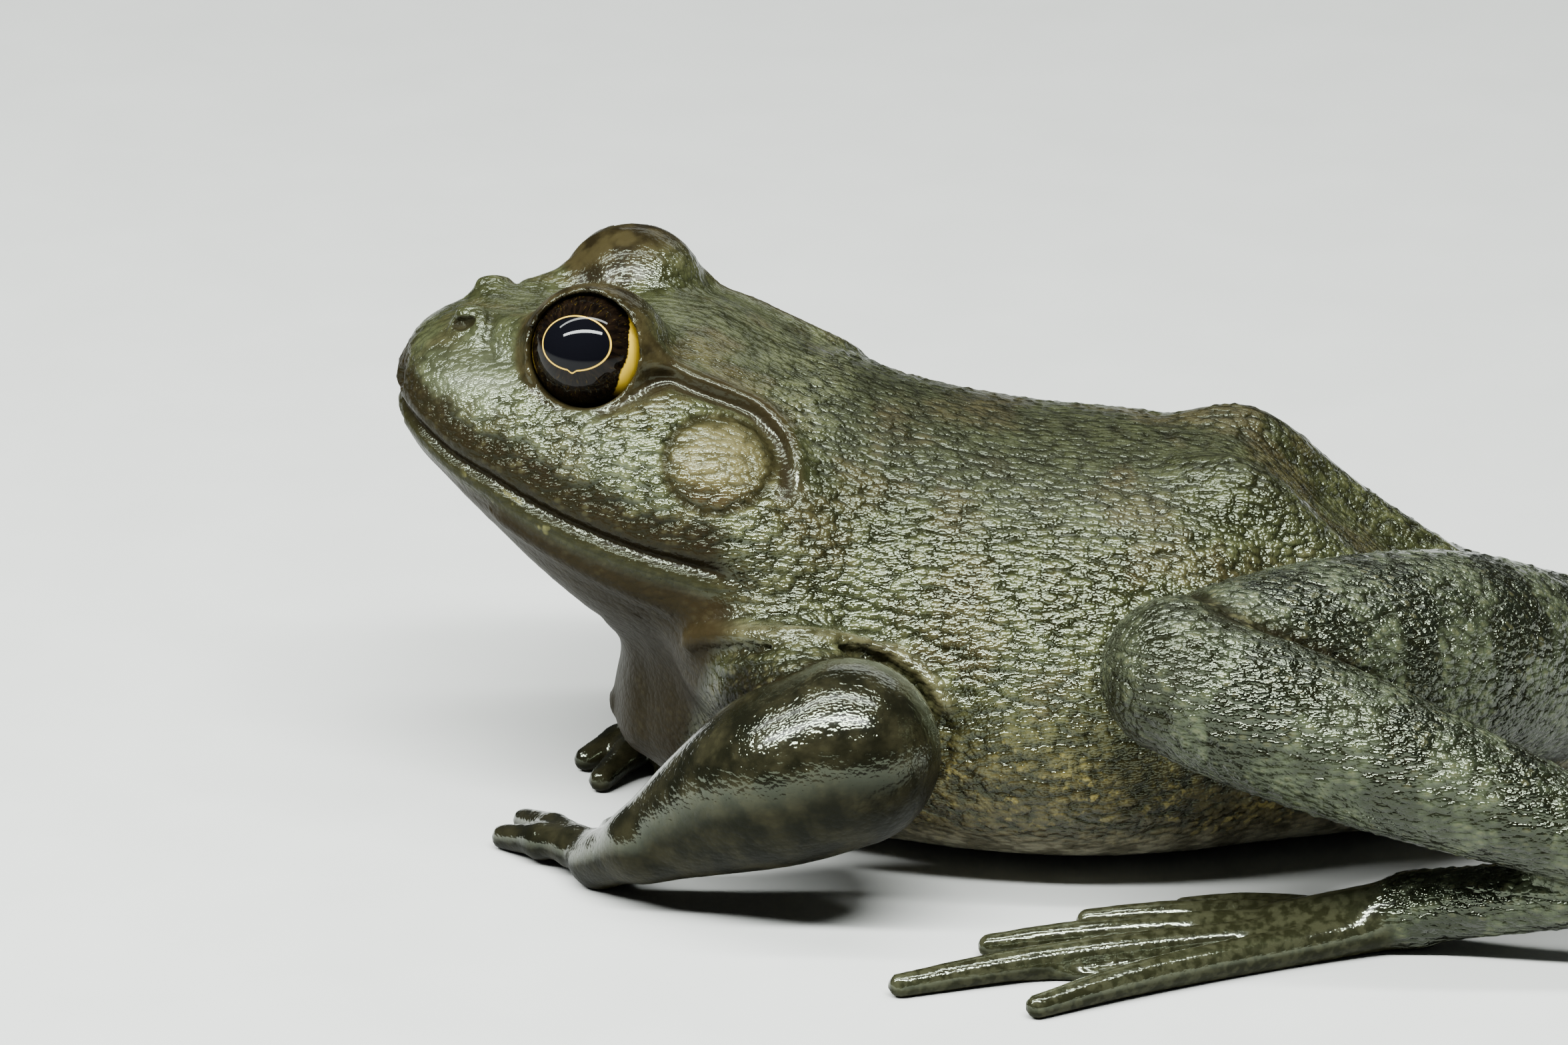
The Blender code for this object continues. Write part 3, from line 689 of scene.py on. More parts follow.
def sampled():
    """The form on the fine grid. Blocks far from the skin hold one rough value each."""
    side = 4 * VOXEL
    count = 2 * np.ceil((GRID_HIGH - GRID_LOW) / side / 2).astype(int)
    big = cells(count // 2)
    rough = in_threads(GRID_LOW + 2 * side * (big + 0.5), 8)
    field = np.repeat(np.repeat(np.repeat(rough.reshape(count // 2), 2, 0), 2, 1), 2, 2)
    close = big[may_hold_skin(rough, 2 * side)]
    small = (2 * close[:, None] + cells((2, 2, 2))).reshape(-1, 3)
    rough = in_threads(GRID_LOW + side * (small + 0.5), 16)
    field[tuple(small.T)] = rough
    small = small[may_hold_skin(rough, side)]
    grid = np.empty((*count, 4, 4, 4), np.float32)
    grid[:] = field.reshape(*count, 1, 1, 1)
    steps = VOXEL * cells((4, 4, 4))
    points = (GRID_LOW + side * small[:, None] + steps).reshape(-1, 3)
    grid[tuple(small.T)] = in_threads(points, max(16, len(small) // 500)).reshape(-1, 4, 4, 4)
    print("blocks filled in:", len(small), "of", int(np.prod(count)))
    return grid.transpose(0, 3, 1, 4, 2, 5).reshape(4 * count)


# %% Skin mesh in millimetres
volume = openvdb.FloatGrid(4 * VOXEL)
volume.copyFromArray(np.ascontiguousarray(sampled()))
volume.transform = openvdb.createLinearTransform(VOXEL)
points, quads = volume.convertToQuads(0.0)
points = points + GRID_LOW
print("skin before thinning:", len(points), "points,", len(quads), "quads")

# %% [markdown]
# ## Sums and nodes in Python
# Warts, colours and gloss are all worked out by nodes. Dragging hundreds of them by hand hides
# the sum that they stand for, so a small class lets a socket take part in Python arithmetic,
# and one method makes every other node from its type, its settings and its sockets' values.

# %% Writing nodes as sums
class Flow:
    """A socket that can be added, multiplied and so on, each time through a Math node."""

    def __init__(self, graph, socket):
        self.graph, self.socket = graph, socket

    def out(self, name):
        """Another output of the same node."""
        return Flow(self.graph, self.graph.found(self.socket.node.outputs, name))

    def __add__(self, other):
        return self.graph.sum("ADD", self, other)

    def __sub__(self, other):
        return self.graph.sum("SUBTRACT", self, other)

    def __rsub__(self, other):
        return self.graph.sum("SUBTRACT", other, self)

    def __mul__(self, other):
        return self.graph.sum("MULTIPLY", self, other)

    def __truediv__(self, other):
        return self.graph.sum("DIVIDE", self, other)

    def __rtruediv__(self, other):
        return self.graph.sum("DIVIDE", other, self)

    def __pow__(self, other):
        return self.graph.sum("POWER", self, other)

    __radd__, __rmul__ = __add__, __mul__


class Graph:
    """A node tree, with one method that makes its nodes."""

    def __init__(self, tree):
        self.tree = tree

    def found(self, sockets, key):
        return next(s for s in sockets if key in (s.identifier, s.name) and s.enabled)

    def node(self, kind, settings=None, sockets=None):
        """A new node's first output. A socket takes a value, or a Flow to link to it."""
        made = self.tree.nodes.new(kind)
        for name, value in (settings or {}).items():
            setattr(made, name, value)
        for key, value in (sockets or {}).items():
            socket = made.inputs[key] if isinstance(key, int) else self.found(made.inputs, key)
            if isinstance(value, Flow):
                self.tree.links.new(value.socket, socket)
            elif socket.type == "RGBA" and len(value) == 3:
                socket.default_value = (*value, 1)
            else:
                socket.default_value = value
        return Flow(self, made.outputs[0]) if made.outputs else made

    def sum(self, operation, *numbers):
        return self.node("ShaderNodeMath", {"operation": operation}, dict(enumerate(numbers)))

    def rise(self, value, start, end):
        """0 while value is under start and 1 beyond end, with a smooth step between them."""
        if start > end:
            return 1 - self.rise(value, end, start)
        return self.node("ShaderNodeMapRange", {"interpolation_type": "SMOOTHSTEP"},
                         {"Value": value, "From Min": start, "From Max": end})

    def vector(self, operation, *vectors):
        return self.node("ShaderNodeVectorMath", {"operation": operation}, dict(enumerate(vectors)))

    def tint(self, share, first, second):
        """The first colour where share is 0, and the second where it is 1."""
        return self.node("ShaderNodeMix", {"data_type": "RGBA"},
                         {"Factor_Float": share, "A_Color": first, "B_Color": second}).out("Result_Color")

    def noise(self, place, scale, detail=2.0, roughness=0.5):
        return self.node("ShaderNodeTexNoise", None,
                         {"Vector": place, "Scale": scale, "Detail": detail, "Roughness": roughness})

    def most(self, first, *others):
        """The greatest of several values."""
        for other in others:
            first = self.sum("MAXIMUM", first, other)
        return first

    def principled(self, **sockets):
        """The usual shader, its sockets named with low lines for spaces."""
        named = {name.replace("_", " "): value for name, value in sockets.items()}
        return self.node("ShaderNodeBsdfPrincipled", None, named)

    def surface(self, shader):
        """Ends a material with its shader, and says how big its tree has become."""
        self.node("ShaderNodeOutputMaterial", None, {"Surface": shader})
        return f"{len(self.tree.nodes)} nodes"


def new_material(name):
    """A material without nodes, and the graph to make them with."""
    made = bpy.data.materials.new(name)
    made.use_nodes = True
    made.node_tree.nodes.clear()
    return made, Graph(made.node_tree)


print("operators ready:", [name for name in vars(Flow) if name.startswith("__r")])

# %% [markdown]
# ## Marks on the skin
# One skin covers smooth lids, pebbly back, pale belly and webbed toes. Rather than cut it into
# pieces with visible seams, each point of the mesh carries a few numbers from 0 to 1 that say
# what kind of skin it is. They come from the same forms that made the shape, so a mark follows
# its feature exactly, and the material only has to read them by name.

# %% Kinds of skin
def patch(p, middle, reach):
    """1 at the middle, fading over its own reach along each axis."""
    return hump(length((p - middle) / reach), 1.0)


def only_on(form):
    """1 for points on the form's surface and 0 for those that belong to other forms."""
    return step_up(form, 3.0, 1.2)


def marks(p):
    """Each kind of skin by name, with how much of it there is at each point."""
    _, head, trunk, limbs = frog(p, parts=True)
    q = folded(turned(p))
    core = np.minimum(head, trunk)
    uppers, forearms, hands, thighs, shanks, ankles, feet = np.min(limbs, axis=0)
    arms, legs = np.minimum(forearms, hands), np.minimum.reduce([thighs, shanks, ankles])
    on_head = step_up(q[:, 1] + 0.35 * (52 - q[:, 2]), 55, 49)
    on_arm = step_up(np.minimum(core, uppers) - arms, -0.3, 0.9) * only_on(arms)
    on_foot = step_up(np.minimum(core, legs) - feet, -0.5, 2.0) * only_on(feet)
    on_leg = step_up(core - np.minimum(legs, feet), 0.0, 3.0) * only_on(np.minimum(legs, feet))
    limb = np.maximum(on_arm, on_leg)
    rise = q[:, 2] - MOUTH(q[:, 1])
    in_mouth = step_up(q[:, 1], MOUTH_CORNER + 1, MOUTH_CORNER - 4) * on_head
    eye_gap = ball(q, EYE_CENTRE, 0)
    lid = np.maximum(step_up(eye_gap, 9.4, 7.9), step_up(tube(q, *EYE_CORNER), 0.9, -0.3)) * on_head
    throat = step_up(rise, -1.0, -4.0) * on_head
    snout = patch(q, (11.5, 11, 51), (6, 7, 4.5)) * on_head
    cheek = patch(q, (17, 25, 47.5), (6, 9, 3.2)) * on_head
    lips = hump(rise, 3.2) * in_mouth
    drum = across_the_drum(q) / EARDRUM_RADIUS
    drum = np.where(on_head > 0.05, np.clip(drum, 0, 2), 2)
    off_drum = step_up(drum, 0.85, 1.15)
    knees = [np.array(leg["shank"][0]) * (sign, 1, 1) for sign, _, leg, _, _ in SIDES.values()]
    gaps = np.min([length(p - knee) for knee in knees], axis=0)
    rim = swell(p, DRAPE, 1.0, 1.5)
    gaps_by_arm = swell(p, UNDER_RIM, 0.8, 0.9) + swell(p, SLEEVE, 0.7, 0.8)
    # creases and gaps between parts, which the skin material darkens as painted shade
    creases = [
        swell(q, EYE_CREASE, 1.0, 1.1), 0.5 * swell(q, LID_CREASE, 1.0, 0.6),
        hump(rise, 0.8) * in_mouth, gaps_by_arm,
        step_up(tube(q, *NOSTRIL_PIT), 0.3, 0.05), 0.6 * swell(q, NOSTRIL_GROOVE, 1.0, 0.5),
        hump(np.minimum(core, uppers) - arms, 1.1) * step_up(hands, 0, 3) * only_on(arms),
        hump(np.minimum(core, thighs) - shanks, 1.2) * only_on(shanks),
        0.8 * hump(core - thighs, 1.0) * only_on(thighs),
    ]
    low_belly = step_up(p[:, 2], 9, 2.5) * (1 - limb)
    kinds = {
        "head": on_head * (1 - limb), "arm": on_arm, "leg": on_leg, "foot": on_foot, "lid": lid,
        "throat": throat * (1 - limb), "belly": low_belly, "lip": np.clip(rise / 20 + 0.5, 0, 1),
        "mouth": in_mouth, "drum": drum / 2, "band": np.clip(gaps / 100, 0, 1),
        "low": step_up(p[:, 2], 27, 10) * (1 - limb) * (1 - on_head),
        "crease": np.max(creases, axis=0),
        "wrinkle": patch(q, (31, 52, 36), (14, 17, 16)) * (1 - limb) * off_drum,
        "snout": np.maximum(snout, 0.75 * cheek), "rim": rim,
        "jaw": patch(q, (28.5, 42, 35), (7, 8, 3.6)),
        # chest: where the skin material paints shade below the throat
        "chest": step_up(p[:, 1], 60, 46) * step_up(p[:, 2], 34, 26) * (1 - on_head) * (1 - limb),
    }
    folds = swell(q, EAR_FOLD, 0.85, 1.5) + swell(q, EYE_CREASE, 1.0, 1.3)
    crown = step_up(q[:, 2], 50, 55) * on_head * (1 - lid)
    smooth = [0.95 * lid, 0.85 * on_arm, on_foot, 0.8 * throat, 0.8 * lips, 0.85 * snout,
              0.6 * low_belly, 0.35 * step_up(drum, 1.1, 0.95), np.clip(folds, 0, 0.95), 0.45 * crown,
              0.6 * rim]
    kinds["back"] = step_up(p[:, 2], 34, 48) * (1 - on_head) * (1 - limb) + 0.6 * crown
    kinds["rough"] = np.prod([1 - s for s in smooth], axis=0)
    return kinds


def facing_down(mesh):
    """Stores how far each point faces the floor, as the mark "under"."""
    away = np.empty(len(mesh.vertices) * 3, np.float32)
    mesh.vertex_normals.foreach_get("vector", away)
    under = step_up(away.reshape(-1, 3)[:, 2], 0.40, -0.20).astype(np.float32)
    mesh.attributes.new("under", "FLOAT", "POINT").data.foreach_set("value", under)


def marked(mesh, points):
    """Stores the marks of every point on the mesh."""
    with ThreadPoolExecutor(THREADS) as pool:
        found = list(pool.map(marks, np.array_split(points, 24)))
    for name in found[0]:
        values = np.concatenate([some[name] for some in found]).astype(np.float32)
        mesh.attributes.new(name, "FLOAT", "POINT").data.foreach_set("value", values)
    return list(found[0])


# %% [markdown]
# ## Finer faces where it counts
# A grid spacing that suits the back is too coarse for an eyelid or a lip. The faces near those
# lines are split, and the new points are settled on the exact form, which the grid only
# approximates. It costs about fifty thousand faces, where a grid twice as fine would cost a
# million.

# %% Splitting near lids, lips and folds
def delicate(p):
    """Which points lie near a lid, lip, nostril or fold of the head."""
    q = folded(turned(p))
    head = near(q, [(0, -1, 30), (30, 53, 66)], 1)
    found = np.zeros(len(p), bool)
    q = q[head]
    rise = np.abs(q[:, 2] - MOUTH(q[:, 1]))
    eye_gap, drum = ball(q, EYE_CENTRE, 0), across_the_drum(q)
    found[head] = (
        (rise < 1.5) & (q[:, 1] < MOUTH_CORNER) | (eye_gap > 5.8) & (eye_gap < 8.3)
        | (from_line(q, EYE_CREASE) < 1.5) | (from_line(q, NOSTRIL_GROOVE) < 1.5)
        | (ball(q, NOSTRIL, 0) < 3.0) | (np.abs(drum - EARDRUM_RADIUS) < 0.9)
    )
    return found


def drop_bubbles(work):
    """Deletes all but the biggest connected part. A deep crease can leave bubbles inside."""
    waiting, parts = set(work.verts), []
    while waiting:
        part = [waiting.pop()]
        for corner in part:
            for edge in corner.link_edges:
                other = edge.other_vert(corner)
                if other in waiting:
                    waiting.discard(other)
                    part.append(other)
        parts.append(part)
    parts.sort(key=len)
    bmesh.ops.delete(work, geom=[corner for part in parts[:-1] for corner in part], context="VERTS")
    return len(parts) - 1


skin_mesh = bpy.data.meshes.new("skin")
skin_mesh.from_pydata(points.tolist(), [], quads.tolist())
work = bmesh.new()
work.from_mesh(skin_mesh)
chosen = delicate(points)
edges = [e for e in work.edges if chosen[e.verts[0].index] or chosen[e.verts[1].index]]
bmesh.ops.subdivide_edges(work, edges=edges, cuts=1, use_grid_fill=True)
bmesh.ops.triangulate(work, faces=work.faces)
print("bubbles dropped:", drop_bubbles(work))
work.to_mesh(skin_mesh)
work.free()


def places(mesh):
    found = np.empty(3 * len(mesh.vertices), np.float32)
    mesh.vertices.foreach_get("co", found)
    return found.reshape(-1, 3).astype(float)


points = places(skin_mesh)
chosen = delicate(points)
moved = settled(points[chosen], lambda p: in_threads(p, 16), 3)
step = moved - points[chosen]
points[chosen] += step * np.minimum(1, 0.5 / np.maximum(length(step), 1e-6))[:, None]
skin_mesh.vertices.foreach_set("co", points.ravel())
skin_mesh.shade_smooth()
print("faces after splitting:", len(skin_mesh.polygons), "settled points:", int(chosen.sum()))
print("marks:", marked(skin_mesh, points))

# %% [markdown]
# ## Warts by Geometry Nodes
# The back, flanks and thighs of a bullfrog are pebbled with low warts of two or three
# millimetres, and the skin behind the eardrum is drawn into long wrinkles. Both repeat over the
# whole surface, so a small node tree makes them: it pushes each point out along its normal by a
# sum of cell and noise textures, times the mark that says how rough the skin is there.

# %% Tree of warts and wrinkles
wart_tree = bpy.data.node_groups.new("Warty skin", "GeometryNodeTree")
WART_INPUTS = {
    "Wart spacing": ("NodeSocketFloat", 2.1), "Wart height": ("NodeSocketFloat", 0.24),
    "Pebble spacing": ("NodeSocketFloat", 1.15), "Pebble height": ("NodeSocketFloat", 0.20),
    "Wrinkle width": ("NodeSocketFloat", 1.5), "Wrinkle height": ("NodeSocketFloat", 0.42),
    "Seed": ("NodeSocketFloat", 4.0), "Skin": ("NodeSocketMaterial", None),
}
face = wart_tree.interface
face.new_socket("Geometry", in_out="INPUT", socket_type="NodeSocketGeometry")
face.new_socket("Geometry", in_out="OUTPUT", socket_type="NodeSocketGeometry")
identifiers = {
    name: face.new_socket(name, in_out="INPUT", socket_type=kind).identifier
    for name, (kind, _) in WART_INPUTS.items()
}
g = Graph(wart_tree)
given = g.node("NodeGroupInput")
place = g.node("GeometryNodeInputPosition")
normal = g.node("GeometryNodeInputNormal")


def read(name):
    return g.node("GeometryNodeInputNamedAttribute", {"data_type": "FLOAT"}, {"Name": name})


seed = given.out("Seed")
CELLS_4D = {"voronoi_dimensions": "4D", "feature": "SMOOTH_F1"}
warts = g.node("ShaderNodeTexVoronoi", CELLS_4D, {
    "Vector": place, "W": seed, "Scale": 1 / given.out("Wart spacing"), "Smoothness": 0.25})
pebbles = g.node("ShaderNodeTexVoronoi", CELLS_4D, {
    "Vector": place, "W": seed + 7.0, "Scale": 1 / given.out("Pebble spacing"), "Smoothness": 0.2})
patches = g.rise(g.noise(place, 0.16, 3.0), 0.38, 0.62)
long_way = g.vector("MULTIPLY", place, (1.0, 0.32, 1.25))
wrinkles = g.noise(long_way, 1 / given.out("Wrinkle width"), 1.5)
bumps = (
    g.rise(warts, 0.55, 0.05) * given.out("Wart height") * (0.25 + 0.75 * patches)
    + g.rise(pebbles, 0.6, 0.05) * given.out("Pebble height")
)
pushed = read("rough") * (bumps - 0.12) + (wrinkles - 0.5) * given.out("Wrinkle height") * (
    read("wrinkle") * read("rough") + 0.12 * read("throat"))
offset = g.node("ShaderNodeVectorMath", {"operation": "SCALE"}, {0: normal, "Scale": pushed})
raised = g.node("GeometryNodeSetPosition", None, {"Geometry": given, "Offset": offset})
realised = g.node("GeometryNodeRealizeInstances", None, {"Geometry": raised})
dressed = g.node("GeometryNodeSetMaterial", None, {"Geometry": realised, "Material": given.out("Skin")})
g.node("NodeGroupOutput", None, {"Geometry": dressed})
print("wart tree:", len(wart_tree.nodes), "nodes")

# %% [markdown]
# ## The skin's colours
# The real skin is olive-brown and brassy on the head, mottled darker on the back, brown with
# gold flecks low on the flank, pale underneath and barred on the legs. Each tone is laid over the
# last through the mark of its region and a noise, so that no edge is clean. Some tones are painted
# light: a pale painted sheen on the snout and cheeks, painted shade on the throat and chest, over
# the dark upper lip, in the creases, round and below the eardrum and between the granules, and a
# painted highlight on each granule's top. The granules are too fine for the mesh, so a bump shapes
# them. The main shader is as glossy as a film of water, with a coat where the skin is smooth. The
# throat, the folds and the undersides would mirror the pale floor in it and look grey, so a
# second, duller shader is mixed in there.

# %% Skin material: where things lie
skin, g = new_material("Wet granular skin")
place = g.node("ShaderNodeTexCoord").out("Object")
spread = g.node("ShaderNodeSeparateXYZ", None, {0: place})


def mark(name):
    return g.node("ShaderNodeAttribute", {"attribute_name": name}).out("Fac")


head_mark, arm_mark, leg_mark, foot_mark = mark("head"), mark("arm"), mark("leg"), mark("foot")
lid_mark, throat_mark, belly_mark, low_mark = mark("lid"), mark("throat"), mark("belly"), mark("low")
rough_mark, crease_mark, drum_mark = mark("rough"), mark("crease"), mark("drum") * 2
lip_height = (mark("lip") - 0.5) * 20
mouth_mark, snout_mark, wrinkle_mark, back_mark = mark("mouth"), mark("snout"), mark("wrinkle"), mark("back")
rim_mark, jaw_mark, chest_mark, under_mark = mark("rim"), mark("jaw"), mark("chest"), mark("under")

# %% Skin material: tones
broad = g.noise(place, 95, 3.0, 0.6)
mottle = g.noise(place, 260, 3.0, 0.6)
speck = g.noise(place, 800, 2.0, 0.55)
earth = g.rise(g.noise(g.vector("ADD", place, (0.0, 0.23, 0.11)), 70, 3.0, 0.6), 0.50, 0.62)
blotch = g.rise(g.noise(g.vector("ADD", place, (0.31, 0.17, 0.0)), 120, 2.5, 0.55), 0.56, 0.66)


def mottled(start, end, dark, light):
    """Two tones of one skin in cloudy spots, from all dark below start to all light above end."""
    return g.tint(g.rise(mottle, start, end), dark, light)


colour = mottled(0.36, 0.66, (0.019, 0.020, 0.007), (0.068, 0.075, 0.030))
colour = g.tint(g.rise(broad, 0.42, 0.62) * 0.6, colour, (0.039, 0.043, 0.017))
head_tone = mottled(0.32, 0.66, (0.027, 0.029, 0.010), (0.081, 0.089, 0.039))
colour = g.tint(head_mark * 0.9, colour, head_tone)
# Painted sheen: the snout and cheeks are made pale grey-green, standing in for light shining on the wet skin
# there.
colour = g.tint(snout_mark * 0.7, colour, (0.185, 0.215, 0.140))
colour = g.tint(back_mark * 0.7, colour, (0.016, 0.018, 0.007))
colour = g.tint(earth * 0.55, colour, g.tint(mottle, (0.030, 0.020, 0.008), (0.080, 0.062, 0.026)))
colour = g.tint(blotch * rough_mark * 0.6, colour, (0.018, 0.016, 0.006))

# %% Skin material: flank, belly and throat
low_tone = mottled(0.38, 0.60, (0.038, 0.026, 0.009), (0.108, 0.078, 0.026))
gold = g.rise(speck, 0.54, 0.64) * g.rise(g.noise(place, 170, 2.0), 0.42, 0.6)
low_tone = g.tint(gold, low_tone, (0.340, 0.270, 0.080))
colour = g.tint(low_mark * 0.85, colour, low_tone)
belly_tone = mottled(0.44, 0.58, (0.166, 0.155, 0.108), (0.374, 0.353, 0.259))
colour = g.tint(belly_mark, colour, belly_tone)
# Painted shade: the throat and chest are painted nearly black, as if in deep shadow under the head.
throat_and_chest_shade = mottled(0.36, 0.66, (0.002, 0.002, 0.001), (0.009, 0.007, 0.004))
colour = g.tint(g.most(throat_mark, chest_mark) * 0.95, colour, throat_and_chest_shade)
colour = g.tint(jaw_mark * 0.85, colour, (0.022, 0.016, 0.007))
rim_tone = mottled(0.40, 0.60, (0.061, 0.050, 0.022), (0.137, 0.119, 0.061))
colour = g.tint(rim_mark * 0.55, colour, rim_tone)

# %% Skin material: lips, eardrum and lids
smooth_fold = g.rise(rough_mark, 0.5, 0.12) * head_mark * (1 - snout_mark)
colour = g.tint(smooth_fold * 0.8, colour, (0.022, 0.015, 0.006))
# Partly real, partly painted shade: the upper lip is dark brown, and is darkened to near black as shade along
# the jaw's edge.
upper_lip = g.rise(lip_height + 5 * (mottle - 0.5), 7.5, 4.0) * g.rise(lip_height, -0.4, 0.4) * mouth_mark
colour = g.tint(upper_lip * 0.95, colour, (0.012, 0.008, 0.003))
lower_lip = g.rise(lip_height, -0.2, -0.7) * g.rise(lip_height, -3.4, -2.0) * mouth_mark
form_y = spread.out("Y") / MM + float(MIDDLE[1])
forward = g.rise(form_y, 21, 17) * g.rise(form_y, 8, 10)
spots = g.rise(g.noise(place, 420, 2.0), 0.53, 0.62) * forward
colour = g.tint(lower_lip, colour, g.tint(spots * 0.8, (0.023, 0.022, 0.009), (0.259, 0.245, 0.094)))
drum_tone = g.tint(g.rise(drum_mark, 0.95, 0.35), (0.050, 0.044, 0.017), (0.130, 0.112, 0.047))
# Painted shade: the eardrum gets darker towards its bottom, as if lit from above.
above_drum = spread.out("Z") / MM - float(EARDRUM_CENTRE[2])
drum_lower_shade = g.rise(above_drum + 8 * (broad - 0.5), -1.5, -4.5) * 0.9
drum_tone = g.tint(drum_lower_shade, drum_tone, (0.040, 0.027, 0.011))
# Painted shade: a dark ring fills the groove round the eardrum.
ring = g.rise(drum_mark, 0.78, 0.93) * g.rise(drum_mark, 1.14, 1.0)
colour = g.tint(g.rise(drum_mark, 1.12, 0.96), colour, g.tint(ring * 0.85, drum_tone, (0.022, 0.019, 0.007)))
lid_tone = mottled(0.38, 0.62, (0.011, 0.008, 0.003), (0.036, 0.028, 0.011))
colour = g.tint(lid_mark * 0.92, colour, lid_tone)

# %% Skin material: limbs
arm_tone = mottled(0.36, 0.70, (0.006, 0.006, 0.003), (0.022, 0.020, 0.010))
colour = g.tint(arm_mark, colour, arm_tone)
BAR_SPACING = 12.5                    # from one dark bar on the leg to the next, in millimetres
distance = mark("band") * 100 + (broad - 0.5) * 16
bars = g.rise(g.sum("SINE", distance * (2 * math.pi / BAR_SPACING)), -0.05, 0.35)
leg_tone = mottled(0.36, 0.64, (0.014, 0.017, 0.009), (0.060, 0.072, 0.040))
leg_tone = g.tint(bars * 0.9, leg_tone, (0.006, 0.007, 0.004))
colour = g.tint(leg_mark, colour, leg_tone)
web_tone = g.tint(g.rise(speck, 0.40, 0.62), (0.016, 0.016, 0.007), (0.042, 0.042, 0.022))
colour = g.tint(foot_mark * 0.9, colour, web_tone)
# Painted shade in the creases: fold edges, lid lines, the mouth line, the nostril and the gaps between limbs
# and body are darkened.
colour = g.tint(crease_mark * 0.85, colour, (0.010, 0.007, 0.003))

# %% Skin material: granules and wet film
along = g.vector("MULTIPLY", place, (1.0, 0.58, 1.0))
granules = g.node("ShaderNodeTexVoronoi", None, {"Vector": along, "Scale": 1050.0})
fine = g.node("ShaderNodeTexVoronoi", None, {"Vector": place, "Scale": 1900.0})
pores = g.noise(place, 3600, 2.0)
streaks = g.noise(g.vector("MULTIPLY", place, (1.0, 0.25, 1.2)), 900, 2.0)
domes = 1 - granules * granules * 1.6
small_domes = 1 - fine * fine * 1.6
height = (
    rough_mark * (0.280 * domes + 0.100 * small_domes)
    + (1 - rough_mark) * 0.018 * small_domes + 0.015 * pores
    + 0.16 * streaks * wrinkle_mark * rough_mark
)
# Painted shade: the low ground between the granules is darkened.
colour = g.tint(g.rise(domes, 0.85, 0.15) * rough_mark * 0.75, colour, (0.008, 0.008, 0.003))
# Painted highlight: the tops of the granules are lightened, as if they catch the light.
granule_top_highlight = g.rise(domes, 0.72, 0.98) * g.rise(mottle, 0.40, 0.60) * rough_mark * (1 - back_mark)
colour = g.tint(granule_top_highlight * 0.22, colour, (0.190, 0.180, 0.085))
WET_DARKENING = 0.34                  # the share of its colour that skin loses when it is wet
colour = g.tint(WET_DARKENING, colour, (0.0, 0.0, 0.0))
bump = g.node("ShaderNodeBump", None, {"Strength": 1.0, "Distance": MM, "Height": height})
underside = under_mark * (1.05 - 0.62 * rough_mark)
dull = g.most(
    throat_mark, chest_mark, crease_mark, lower_lip * 0.9, upper_lip * 0.88, jaw_mark * 0.7, underside,
    0.55 * back_mark, smooth_fold * 0.75, ring * 0.9, g.rise(drum_mark, 1.0, 0.85) * 0.5)
gloss = 0.075 + 0.14 * back_mark + 0.10 * (mottle - 0.5)
film = 0.50 * (1 - rough_mark) * (1 - rough_mark)
wet = g.principled(
    Base_Color=colour, Roughness=gloss, Normal=bump, IOR=1.66, Specular_Tint=(0.88, 1.0, 0.74, 1.0),
    Coat_Weight=film, Coat_Roughness=0.16, Coat_IOR=1.33)
shaded = g.principled(Base_Color=colour, Roughness=0.45, Normal=bump, Specular_IOR_Level=0.03)
shader = g.node("ShaderNodeMixShader", None, {0: g.sum("MINIMUM", dull, 0.97), 1: wet, 2: shaded})
print("skin material:", g.surface(shader))

# %% [markdown]
# ## Finishing the skin
# The tree runs on the fine mesh, so that the warts are well shaped, and the result is then
# thinned. Thinning takes first the faces that add least to the shape, such as those of the flat
# underside, and the marks are worked out again for the points that are left.

# %% Warts on, then thinned
skin_mesh.materials.append(skin)
grown = in_scene("skin_in_mm", skin_mesh)
nodes_step = grown.modifiers.new("Warts", "NODES")
nodes_step.node_group = wart_tree
for name, (_, value) in WART_INPUTS.items():
    nodes_step[identifiers[name]] = skin if name == "Skin" else value
MOST_TRIANGLES = 190_000
thinning = grown.modifiers.new("Thinning", "DECIMATE")
thinning.ratio = min(1.0, MOST_TRIANGLES / len(skin_mesh.polygons))
graph = bpy.context.evaluated_depsgraph_get()
thinned = bpy.data.meshes.new_from_object(grown.evaluated_get(graph))
bpy.data.objects.remove(grown)
points = places(thinned)
for old in [a.name for a in thinned.attributes if a.data_type == "FLOAT"]:
    thinned.attributes.remove(thinned.attributes[old])
marked(thinned, points)
thinned.vertices.foreach_set("co", placed(points).astype(np.float32).ravel())
thinned.update()
facing_down(thinned)
skin_piece = in_scene("skin", thinned)
thinned.shade_smooth()
print("skin:", len(thinned.vertices), "points,", len(thinned.polygons), "faces")

# %% [markdown]
# ## The eyes
# A bullfrog's eye is a ball with a clear, slightly bulging cornea, a nearly black iris flecked
# with gold, and a flat oval pupil with a notch below it, edged by a fine gold ring. Each ball
# is a sphere whose poles lie on its own line of sight, and its map holds the angle from that
# line, so that pupil and iris can be drawn in angles whatever way the eye looks.

# %% Eyeball mesh
SIGHT_UP = math.radians(25.5)
SIGHT_FORWARD = math.radians(6.5)
RINGS, SPOKES = 56, 96
CORNEA = 0.10                         # how far the clear front of the eye bulges


